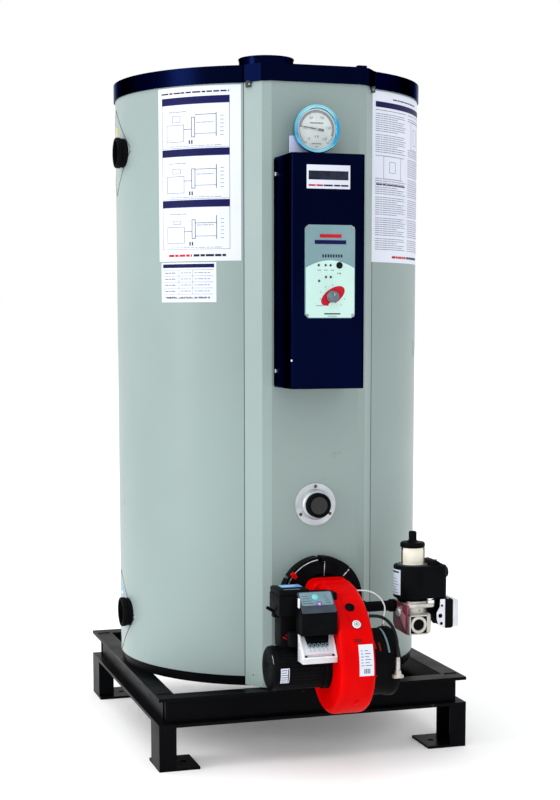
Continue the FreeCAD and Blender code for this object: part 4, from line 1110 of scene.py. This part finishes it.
fittings = Piece("burner_front_fittings")
fittings.add(on_scroll(8, 33, 347, 381, -0.6, 0.9, 10), "burner_red")
fittings.add(on_scroll(12, 37, 316, 350, -0.6, 1.2, 10), "burner_red")
turn = scroll_place(20, 364)
fittings.add(lathe([(6.2, -2), (10.4, -2), (10.4, 2.4), (9.2, 3.6), (7.6, 3.4), (6.5, 1.6), (6.2, -1)],
                   (0, 0, 0), "z", 40, True), "rubber", turn)
fittings.add(lathe([(0, -3), (7, -3), (7, 1.6), (0, 1.2)], (0, 0, 0), "z", 32), "rubber", turn)
turn = scroll_place(24, 333)
fittings.add(lathe([(8.6, -2), (11, -2), (11, 2.2), (10.2, 2.8), (8.6, 2.8)], (0, 0, 0), "z", 40, True),
             "burner_deep", turn)
fittings.add(lathe([(0, -2), (9.2, -2), (9.2, 3.0), (8.2, 4.2), (0, 4.2)], (0, 0, 0), "z", 40),
             "tube_white", turn)
fittings.add(lathe(ring(5.0, 6.0, 3.8, 4.6, 0.2), (0, 0, 0), "z", 32, True), "ink_grey", turn)
fittings.add(lathe([(0, 3.8), (3.2, 3.8), (2.6, 5.0), (0, 5.2)], (0, 0, 0), "z", 24), "sight_green", turn)
fittings.add(on_scroll(21, 52.5, 231, 295, -0.2, 0.5), "paper")
for k in range(6):
    low = 252 + k * 6
    fittings.add(on_scroll(25, 31 - k % 3, low, low + 1.4, 0.3, 0.75, 1), "ink_grey")
    fittings.add(on_scroll(34, 48 - (k * 5) % 9, low, low + 1.4, 0.3, 0.75, 1), "ink_grey")
for k in range(4):
    fittings.add(on_scroll(31 + k * 3.6, 33.2 + k * 3.6, 236, 246, 0.3, 0.75, 2), "ink_grey")
fittings.add(on_scroll(14, 30, 300, 306, -0.5, 1.4, 2), "burner_deep")
for across, height, size in ((23, 171, 6.5), (13, 309, 3.4)):
    fittings.add(lathe([(0, -2), (size, -2), (size * 0.9, 1.6), (size * 0.5, 2.8), (0, 3)], (0, 0, 0),
                       "z", 28), "burner_red", scroll_place(across, height))
fittings.done()

motor = Piece("burner_motor_shell", "black_plastic", replaces=("burner_motor", "motor_cap"))
motor_radius = (motor_high.z - motor_low.z) / 2
FIN_DEPTH = 1.4
fins = [around(FAN, motor_radius - (FIN_DEPTH if k % 4 > 1 else 0), 90 - 2.5 * k) for k in range(144)]
motor.add(prism(fins, motor_low.x, motor_high.x - 6, "x"))
motor.add(lathe(rounded(motor_radius - 0.2, motor_high.x - 8, motor_high.x + 0.2, 0.6),
                (0, fan_y, fan_z), "x", 72))
cap_x = node_box("motor_cap")[0].x
motor.add(lathe([(0, motor_low.x + 0.5), (motor_radius + 0.8, motor_low.x + 0.5),
                 (motor_radius + 1, motor_low.x - 4), (motor_radius - 0.6, cap_x + 4),
                 (motor_radius - 5, cap_x + 0.8), (motor_radius - 9, cap_x), (18, cap_x),
                 (14, cap_x + 2.4), (0, cap_x + 2.4)], (0, fan_y, fan_z), "x", 72))
# Painted shade: dark slots on the cap stand in for vent openings, dark with the shade inside them.
for circle in (20, 27, 34):
    for k in range(12):
        angle = 30 * k + circle
        vent = box((cap_x - 0.15, -1.2, -3.4), (cap_x + 1, 1.2, 3.4), 0.3)
        motor.add(vent, "rubber", spun((0, *around(FAN, circle, 90 - angle)), angle, "X"))


def fan_patch(left, right, start, end, low, high):
    """A closed strip round the fan axis; angles run from the front upward."""
    return prism(band(FAN, start - 90, end - 90, low, high, 12), left, right, "x")


skin = motor_radius
# Painted highlight: a short zinc arc near the cap's rim stands in for the rim catching light.
motor.add(fan_patch(cap_x + 1.2, cap_x + 3.4, 24, 52, skin - 4.6, skin - 3.2), "zinc")
motor.add(fan_patch(-131, -112, -30, 10, skin - 0.5, skin + 0.4), "paper")
for k in range(6):
    high = -118 + (k * 5) % 4
    start = -27 + k * 6.2
    motor.add(fan_patch(-129.5, high, start, start + 2.2, skin + 0.2, skin + 0.65), "ink_grey")
motor.add(fan_patch(-115.5, -113.6, -28, 8, skin + 0.2, skin + 0.65), "ink_dark")
motor.add(box((-122, -506, 279), (-60, -460, ignition_low.z + 1), 4, 3))
motor.add(box((-110, -530, 286), (-70, -500, 318), 3, 3))
for start, end in (((-118, -509, 305), (-104, -510, 296)), ((-112, -509, 309), (-100, -510, 300))):
    sag = ((start[0] + end[0]) / 2, start[1] - 3, (start[2] + end[2]) / 2 + 1)
    motor.add(tube(smooth_line([start, sag, end]), 1.7, 8), "burner_deep")
motor.done()

intake = Piece("air_intake_shell", "black_plastic", replaces=("air_intake",), sharp=45)
x = SCROLL_RIGHT
intake.add(lathe([(0, x), (74, x), (74, x + 6), (71, x + 8), (71, x + 48), (74, x + 51), (74, x + 63),
                  (72.6, x + 66), (64, x + 66), (60, x + 61), (24, x + 61), (20, x + 66), (0, x + 66)],
                 (0, fan_y, fan_z), "x", 96))
for k in range(16):
    angle = 22.5 * k
    grille = box((x + 60, -20, -1.2), (x + 64, 20, 1.2), 0.4)
    intake.add(grille, "rubber", spun((0, *around(FAN, 42, 90 - angle)), angle, "X"))
# Painted highlight: a pale partial arc on the intake stands in for a line of light caught along its round
# surface.
intake.add(fan_patch(x + 40, x + 43.5, 26, 84, 71, 73.2), "control_face")
for left, start, end in ((x + 12, 34, 52), (x + 22, 30, 46), (x + 10, -14, -11), (x + 10, -40, -37)):
    intake.add(fan_patch(left, left + 3, start, end, 70.5, 71.6), "burner_deep")
fitting_low, fitting_high = node_box("conduit_fitting")
lug_top = fitting_high.z
intake.add(box((fitting_low.x + 2, fitting_high.y, fitting_low.z), (fitting_high.x - 3, -524, lug_top),
               1.5))
intake.add(lathe([(0, 290), (4, 290), (4, 309), (3, 312), (0, 312)], (120, -471, 0), "z", 24), "zinc")
intake.done()

fitting = Piece("conduit_fitting_body", "aluminium", replaces=("conduit_fitting",))
middle = node_middle("conduit_fitting")
fitting.add(box((fitting_low.x, fitting_low.y + 3, fitting_low.z), (fitting_high.x, fitting_high.y,
                 fitting_low.z + 7), 1.5, 3))
fitting.add(lathe([(0, fitting_low.z + 2), (7.2, fitting_low.z + 2), (7.2, fitting_high.z - 5),
                   (6.2, fitting_high.z - 3), (6.2, fitting_high.z), (0, fitting_high.z)],
                  (middle.x, middle.y + 1, 0), "z", 32))
fitting.add(lathe([(3.8, lug_top - 4), (5.2, lug_top - 4), (5.2, lug_top + 16), (4.6, lug_top + 26),
                   (3.8, lug_top + 28)], (middle.x, -569, 0), "z", 28, True), "zinc")
for x in (fitting_low.x + 3.5, fitting_high.x - 3.5):
    pan_screw(fitting, (x, fitting_low.y + 3, fitting_low.z + 3.6), FRONT, 2.4)
fitting.done()

ignition = Piece("ignition_box_case", "black_plastic", replaces=("ignition_box",))
lid_z = ignition_high.z
ignition.add(box(ignition_low, (ignition_high.x, ignition_high.y, lid_z - 12), 2.5, 3))
ignition.add(box((ignition_low.x + 0.8, ignition_low.y + 0.8, lid_z - 13),
                 (ignition_high.x - 0.8, ignition_high.y - 0.8, lid_z), 3.5, 3))
ignition.add(box((-115, -491, lid_z - 0.4), (-70, -461, lid_z + 0.5), 0.2), "label_blue")
for k in range(3):
    y = -486 + k * 7
    ignition.add(box((-112, y, lid_z + 0.3), (-90 + 6 * k, y + 1.4, lid_z + 0.75)), "paper")
# Painted highlight: a pale strip near the lid's front edge stands in for light caught along that edge.
ignition.add(box((-118, -519, lid_z - 0.4), (-84, -516.4, lid_z + 0.7), 0.3), "control_face")
ignition.add(tube([(-126, -486, 352), (-136, -488, 359), (-147, -489, 366)], 3.4, 12), "rubber")
ignition.add(box((-134, -496, 344), (-116, -478, 352.5), 2.0))
for x in (ignition_low.x + 7, ignition_high.x - 7):
    for y in (ignition_low.y + 7, ignition_high.y - 7):
        pan_screw(ignition, (x, y, lid_z - 0.2), UP, 2.2, "black_iron")
ignition.done()


def sloped_face(node, drop, share):
    """Corner points and slope matrix of a box whose top falls toward the front.
    The matrix puts X across, Y up the slope and Z out of it."""
    low, high = node_box(node)
    run = (high.y - low.y) * share
    length = math.hypot(run, drop)
    outline = [(low.y, low.z), (high.y, low.z), (high.y, high.z), (low.y + run, high.z),
               (low.y, high.z - drop)]
    turn = Matrix(((1, 0, 0, low.x), (0, run / length, -drop / length, low.y),
                   (0, drop / length, run / length, high.z - drop), (0, 0, 0, 1)))
    return low, high, outline, turn, length


control = Piece("burner_control_case", "control_grey", replaces=("burner_control",))
low, high, outline, SLOPE, length = sloped_face("burner_control", 38.0, 0.9)
width = high.x - low.x
control.add(prism(outline, low.x, high.x, "x", 3.0, 3, 20), "black_plastic")
plan = rounded_plan(1.5, width - 1.5, 0.5, length + 0.5, 4)
control.add(prism(plan, -1, 0.7, "z", 0.3, 1), "control_band", SLOPE)
plan = rounded_plan(5, width - 4, length * 0.36, length - 1.5, 4)
control.add(prism(plan, 0.2, 1.2, "z", 0.2, 1), "control_face", SLOPE)
for row in range(4):
    for start, end in ((9, 30), (58, width - 9)):
        line = box((start, 24 + row * 6, 1.0), (end - row * 3, 24.9 + row * 6, 1.45))
        control.add(line, "ink_dark", SLOPE)
sticker = lathe(rounded(6.8, 1.0, 1.7, 0.3), (width * 0.48, length * 0.74, 0), "z", 36)
control.add(sticker, "sticker_cyan", SLOPE)
reset = (width * 0.55, length * 0.41, 0)
control.add(lathe([(3.4, 0.6), (5.6, 0.6), (5.6, 2.6), (4.8, 3.4), (3.6, 3.4)], reset, "z", 32, True),
            "reset_violet", SLOPE)
control.add(lathe(rounded(3.4, 0.6, 2.6, 0.8), reset, "z", 28), "pale_steel", SLOPE)
control.add(box((low.x - 2.4, low.y + 12, high.z - 28), (low.x + 0.5, low.y + 21, high.z - 8), 1.0),
            "tube_white")
control.add(box((low.x + 4, low.y - 0.6, low.z + 6), (high.x - 4, low.y + 1, low.z + 7.4)), "rubber")
control.done()

terminal = Piece("terminal_box_cover", "clear_plastic", replaces=("terminal_box",))
low, high, outline, SLOPE, length = sloped_face("terminal_box", 48.0, 0.9)
width = high.x - low.x
terminal.add(prism(outline, low.x + 1, high.x - 1, "x", 2.0, 3, 20))
plan = [(17, 31), (width - 17, 31), (width - 11, length + 1.5), (11, length + 1.5)]
terminal.add(prism(plan, -1, 4.4, "z", 1.2), "black_plastic", SLOPE)
for k in range(5):
    across = 20.5 + k * 9.2
    terminal.add(lathe([(2.2, 0), (4.0, 0), (4.0, 5), (3.4, 6.2), (2.4, 6.2)], (across, 29, 0), "z", 24,
                       True), "control_face", SLOPE)
    terminal.add(lathe(rounded(2.4, 0, 4.6, 0.8), (across, 29, 0), "z", 20), "rubber", SLOPE)
    terminal.add(box((across - 3, 16, -0.2), (across + 3, 22, 1.8), 0.5), "clear_plastic", SLOPE)
    terminal.add(box((across - 0.5, 17, 1.6), (across + 0.5, 21, 2.1)), "ink_grey", SLOPE)
terminal.add(box((12, 9, -0.5), (width - 12, 9.9, 0.8)), "label_pink", SLOPE)
terminal.add(box((9, 6, -0.5), (width - 9, 6.6, 0.8)), "ink_grey", SLOPE)
for left in (1.5, width - 5.5):
    terminal.add(box((left, 1, -1), (left + 4, length - 3, 2.6), 0.8), "tube_white", SLOPE)
terminal.add(box((3, 0.5, -1), (width - 3, 4, 2.2), 0.8), "tube_white", SLOPE)
for across in (9.5, width - 9.5):
    out = SLOPE.to_3x3() @ Vector(UP)
    pan_screw(terminal, SLOPE @ Vector((across, 6.5, 0.4)), out, 2.8, "rubber")
for height, near in ((303, 20), (291, 14)):
    terminal.add(lathe(rounded(3.4, low.x + 3, low.x - 1, 0.8), (0, low.y + near, height), "x", 20),
                 "tube_white")
terminal.done()

# ----------------------------------------------------------------- gas train

valve_low, valve_high = node_box("gas_valve_body")
coil_low, coil_high = node_box("gas_valve_coil")
coil_x = coil_low.x + 41
gas_y = node_middle("gas_valve_coil").y
COIL = (coil_x, gas_y)

pipework = Piece("gas_pipe_fittings", "black_iron")
pipework.add(lathe([(11.4, pipe_high.x - 14), (13.2, pipe_high.x - 13), (14, pipe_high.x - 11),
                    (14, pipe_high.x - 1), (11.4, pipe_high.x - 1)],
                   (0, pipe_y, pipe_z), "x", 40, True))
pipework.add(lathe([(11.4, pipe_low.x), (14, pipe_low.x), (14, pipe_low.x + 9), (13, pipe_low.x + 11),
                    (11.4, pipe_low.x + 11)], (0, pipe_y, pipe_z), "x", 8, True))
pipework.done()

valve = Piece("gas_valve_casting", "aluminium", replaces=("gas_valve_body",), sharp=40)
left, right, near, far = valve_low.x, valve_high.x, gas_y - 44, gas_y + 44
valve_top = coil_low.z
inlet_x, inlet_z, half = left + 23.5, valve_low.z + 24, 21.5
inlet_y = valve_low.y
valve.add(prism(rounded_plan(left + 2, right, near + 3, far - 2, 9, 4), valve_top - 9, valve_top - 0.5,
                "z", 1.5))
valve.add(prism(rounded_plan(left + 6, right - 5, near + 10, far - 6, 14, 4), valve_top - 3,
                valve_top + 3.5, "z", 1.0))
valve.add(lathe(rounded(29, valve_top - 26, valve_top - 8, 1.5), (coil_x, gas_y - 6, 0), "z", 64))
valve.add(box((left + 3, near + 4, valve_low.z + 1), (right - 8, far - 3, valve_top - 22), 6, 3))
valve.add(prism([(near + 4, valve_top - 3), (far - 2, valve_top - 3), (far - 2, valve_low.z + 14),
                 (far - 14, valve_low.z + 3), (near + 4, valve_low.z + 1)], left, left + 5, "x", 1.5),
          "valve_maroon")
valve.add(prism([(near + 12, valve_top - 26), (far - 30, valve_top - 12), (far - 30, valve_top - 20),
                 (near + 12, valve_low.z + 12)], left - 1.6, left + 1, "x", 0.8), "valve_pink")
valve.add(lathe([(0, left + 3), (10.5, left + 3), (10.5, left - 3), (8, left - 6), (0, left - 6.6)],
                (0, gas_y + 2, valve_top - 23), "x", 32), "pale_steel")
for side in (-1, 1):
    edge = inlet_x + side * half
    valve.add(box((min(edge, edge - side * 3), inlet_y, inlet_z - half),
                  (max(edge, edge - side * 3), near + 4, inlet_z + half), 0.8))
    edge = inlet_z + side * half
    valve.add(box((inlet_x - half, inlet_y, min(edge, edge - side * 3)),
                  (inlet_x + half, near + 4, max(edge, edge - side * 3)), 0.8))
valve.add(box((inlet_x - half + 1, inlet_y + 5, inlet_z - half + 1),
              (inlet_x + half - 1, near + 5, inlet_z + half - 1)), "rubber")
valve.add(lathe([(12.4, -22), (18.4, -22), (18.4, 7.2), (17.6, 8), (13.6, 8), (12.4, 7)],
                (inlet_x, near, inlet_z), "y", 64, True))
valve.add(lathe([(0, 6), (12.6, 6), (12.6, 7), (0, 7)], (inlet_x, near + 30, inlet_z), "y", 48), "rubber")
for side_x in (-1, 1):
    for side_z in (-1, 1):
        pan_screw(valve, (inlet_x + side_x * 17, inlet_y + 4.8, inlet_z + side_z * 17), FRONT, 2.4,
                  "black_iron")
for x in (left + 9, right - 9):
    for y in (near + 10, far - 10):
        hex_bolt(valve, (x, y, valve_top - 0.8), UP, 3.4, 3.6, "zinc", 0.3)
valve.add(box((right - 17, near + 3, valve_top - 0.5), (right - 3, near + 8, valve_top + 6), 1.0),
          "tube_white")
valve.done()

coil = Piece("gas_valve_solenoid", "black_plastic", replaces=("gas_valve_coil",), sharp=40)
COIL_RADIUS = 41.0
outline = [around(COIL, COIL_RADIUS, -6 * k) for k in range(31)]
for corner_y, start in ((gas_y - 24, 270), (gas_y + 24, 0)):
    for k in range(5):
        turn = math.radians(start + 22.5 * k)
        outline.append((coil_high.x - 12 + 12 * math.cos(turn), corner_y + 11 * math.sin(turn)))
coil.add(prism(outline, coil_low.z + 9, coil_high.z, "z", 3.0, 3, 40))
coil.add(lathe([(0, coil_low.z - 0.5), (30, coil_low.z - 0.5), (31, coil_low.z + 2), (35, coil_low.z + 10),
                (0, coil_low.z + 10)], (coil_x, gas_y, 0), "z", 64))
coil.add(lathe(ring(26, 33, coil_high.z - 0.5, coil_high.z + 2.0, 0.8), (coil_x, gas_y, 0), "z", 64, True),
         "control_band")
coil_top = coil_high.z
coil.add(prism([(coil_x + 28, coil_top - 3), (coil_x + 34, coil_top + 8), (coil_x + 46, coil_top + 11),
                (coil_high.x - 11, coil_top + 3), (coil_high.x - 1, coil_top - 8),
                (coil_high.x - 1, coil_top - 30), (coil_x + 28, coil_top - 30)],
               gas_y - 27, gas_y + 27, "y", 4, 3, 15))
coil.add(lathe([(0, coil_high.x - 6), (14, coil_high.x - 6), (14, coil_high.x + 4), (11, coil_high.x + 8),
                (6, coil_high.x + 9), (0, coil_high.x + 9)], (0, gas_y - 8, coil_high.z - 18), "x", 40))
pan_screw(coil, (coil_x + 50, gas_y - 12, coil_high.z + 9.6), (0.25, 0, 1), 3.0)


def coil_patch(start, end, low, high, lift_low, lift_high):
    """A strip laid on the solenoid's round side; angles run from the front toward -X."""
    points = band(COIL, start + 180, end + 180, COIL_RADIUS + lift_low, COIL_RADIUS + lift_high, 10)
    return prism(points, low, high, "z")


coil.add(coil_patch(60, 112, coil_low.z + 17, coil_high.z - 8, -0.3, 0.4), "label_pale")
coil.add(coil_patch(66, 112, coil_high.z - 15, coil_high.z - 11.5, 0.1, 0.6), "ink_dark")
for k in range(6):
    low = coil_low.z + 21 + k * 6
    coil.add(coil_patch(68 + (k % 3) * 4, 108, low, low + 1.2, 0.1, 0.6), "ink_grey")
coil.done()

damper_low, damper_high = node_box("damper_cylinder")
damper = Piece("damper_barrel", "cream_plastic", replaces=("damper_cylinder",), sharp=40)
r = (damper_high.x - damper_low.x) / 2
low, high = damper_low.z, damper_high.z
damper.add(lathe([(0, low), (r, low), (r, low + 3), (r - 0.8, low + 3.6), (r - 0.8, low + 6),
                  (r - 0.2, low + 7), (r - 0.2, high - 5), (r - 1, high - 4.4), (r - 1, high),
                  (0, high)], (coil_x, gas_y, 0), "z", 72))
for angle, material in ((124, "brass_dull"), (-96, "black_iron")):
    spot = around(COIL, r + 0.2, angle)
    damper.add(tube([(*spot, low + 1), (*spot, high)], 1.7, 10), material)
damper.done()

top_low, top_high = node_box("damper_cap")
damper_top = Piece("damper_cap_knob", "black_plastic", replaces=("damper_cap",), sharp=40)
r = (top_high.x - top_low.x) / 2
low = top_low.z
damper_top.add(lathe([(0, low), (r - 2, low), (r, low + 2), (r, low + 8), (r - 2.2, low + 11.2),
                      (r - 6, low + 12), (14, low + 12), (11, low + 13.5), (9, low + 16),
                      (0, low + 16)], (coil_x, gas_y, 0), "z", 72))
grip = [around(COIL, 8.5 if k % 4 < 2 else 7.7, 90 - 7.5 * k) for k in range(48)]
damper_top.add(prism(grip, low + 13, top_high.z - 1.6, "z"))
damper_top.add(lathe(rounded(7.2, top_high.z - 3, top_high.z, 1.4), (coil_x, gas_y, 0), "z", 32))
damper_top.done()

switch_low, switch_high = node_box("pressure_switch")
switch = Piece("pressure_switch_case", "black_plastic",
               replaces=("pressure_switch", "switch_bracket"), sharp=40)
x, z = switch_low.x, switch_low.z
switch.add(box((x + 11, switch_low.y, z), switch_high, 5, 3))
switch.add(lathe([(0, valve_high.x - 4), (17, valve_high.x - 4), (17, x + 12), (0, x + 12)],
                 (0, gas_y, z + 32), "x", 40))
switch.add(lathe(rounded(27, x + 1, x + 12, 3), (0, gas_y, z + 32), "x", 64))
switch.add(prism([(x - 4, z + 8), (x + 11, z + 1), (x + 11, z + 65), (x, z + 65), (x - 1, z + 48),
                  (x - 8, z + 36), (x - 8, z + 22)], switch_low.y - 0.2, switch_low.y + 2.6, "y", 0.6),
           "bracket_white")
# Painted shade: dark discs on the bracket stand in for its holes, dark with the shade behind them.
for across, height, radius in ((x, z + 29, 4.8), (x + 3.5, z + 51, 2.6), (x + 2.5, z + 12, 3.4)):
    spot = (across, switch_low.y - 0.1, height)
    switch.add(lathe(rounded(radius, -0.6, 0.5, 0.2), spot, "y", 24), "rubber")
for y in (switch_low.y + 8, switch_high.y - 8):
    pan_screw(switch, (x + 20, y, switch_high.z - 0.2), UP, 2.6)
switch.done()

cover_low, cover_high = node_box("switch_cover")
cover = Piece("pressure_switch_cover", "clear_plastic", replaces=("switch_cover",))
cover.add(box(cover_low, cover_high, 3.5, 4))
cover.add(box((cover_low.x - 0.2, cover_low.y - 1.2, cover_low.z - 1.2),
              (cover_low.x + 3.4, cover_high.y + 1.2, cover_high.z + 1.2), 1.4), "tube_white")
for y in (cover_low.y + 7, cover_high.y - 7):
    for z in (cover_low.z + 7, cover_high.z - 7):
        pan_screw(cover, (cover_high.x - 0.2, y, z), (1, 0, 0), 2.6)
cover.done()

# --------------------------------------------------------------------- stand

front_low, front_high = node_box("frame_front_beam")
rear_high = node_box("frame_rear_beam")[1]
stand = Piece("stand_welds", "frame_black")


def weld(start, end, radius, steps, wave=0.0, pace=0.0, axis=2):
    """A bead of weld between two points that wavers a little along one axis."""
    line = []
    for k in range(steps + 1):
        point = Vector(start).lerp(Vector(end), k / steps)
        point[axis] += wave * math.sin(k * pace)
        line.append(point)
    stand.add(tube(line, radius, 8))


# at each corner: two beads between beam and leg, one where the beams meet on top
# and one along the leg on its foot plate
for side in (-1, 1):
    edge = side * front_high.x
    inner = side * (front_high.x - 38)
    beam = side * (front_high.x - 21)
    for y, inward in ((front_low.y, 1), (rear_high.y, -1)):
        near = y + inward * 2.8
        weld((edge - side * 2.8, near, front_low.z), (inner, near, front_low.z), 2.4, 24, 0.8, 2.1)
        weld((edge - side * 2.6, y + inward * 2, front_low.z),
             (edge - side * 2.6, y + inward * 78, front_low.z), 2.2, 40, 0.7, 1.9)
        weld((beam + side * 15, y + inward * 42.4, front_high.z - 0.4),
             (beam - side * 15, y + inward * 42.4, front_high.z - 0.4), 2.0, 12)
        weld((edge - side * 7, y + inward * 4, 6.6), (edge - side * 7, y + inward * 76, 6.6),
             1.8, 36, -0.5 * side, 2.3, 0)
stand.done()

# --------------------------------------------------------------- floor, light

floor_mesh = bpy.data.meshes.new("floor")
floor_bm = bmesh.new()
bmesh.ops.create_grid(floor_bm, x_segments=8, y_segments=8, size=40.0)
floor_bm.to_mesh(floor_mesh)
floor_bm.free()
floor_surface = Surface("floor_pale", (252, 252, 252), (250, 250, 251), rough=0.8,
                        mottle=0.8, grain=120, bump=0.02, specular=0.1)
floor_surface.shader.inputs["Emission Color"].default_value = (1.0, 1.0, 1.0, 1.0)
floor_surface.shader.inputs["Emission Strength"].default_value = 0.1
floor_mesh.materials.append(floor_surface.material)
floor = bpy.data.objects.new("floor", floor_mesh)
bpy.context.scene.collection.objects.link(floor)

world = bpy.data.worlds.new("studio")
world.use_nodes = True
world.node_tree.nodes["Background"].inputs["Color"].default_value = (1.0, 1.0, 1.0, 1.0)
world.node_tree.nodes["Background"].inputs["Strength"].default_value = 1.0
bpy.context.scene.world = world
bpy.context.scene.view_settings.view_transform = "Standard"


def light(name, kind, place, target, power, size=(1.0, 1.0), spread=0.0):
    """A lamp aimed at a target, in metres; spread is a sun's angle in degrees."""
    lamp = bpy.data.lights.new(name, kind)
    lamp.energy = power
    if kind == "AREA":
        lamp.shape = "RECTANGLE"
        lamp.size, lamp.size_y = size
    else:
        lamp.angle = math.radians(spread)
    holder = bpy.data.objects.new(name, lamp)
    holder.location = place
    holder.rotation_euler = (Vector(target) - Vector(place)).to_track_quat("-Z", "Y").to_euler()
    bpy.context.scene.collection.objects.link(holder)


light("overhead", "SUN", (-1.3, -0.6, 3.6), (0, 0, 0), 0.7, spread=70)
light("key", "AREA", (-4.5, -0.9, 1.9), (0, 0, 0.9), 86, (1.4, 2.8))

bpy.context.view_layer.update()
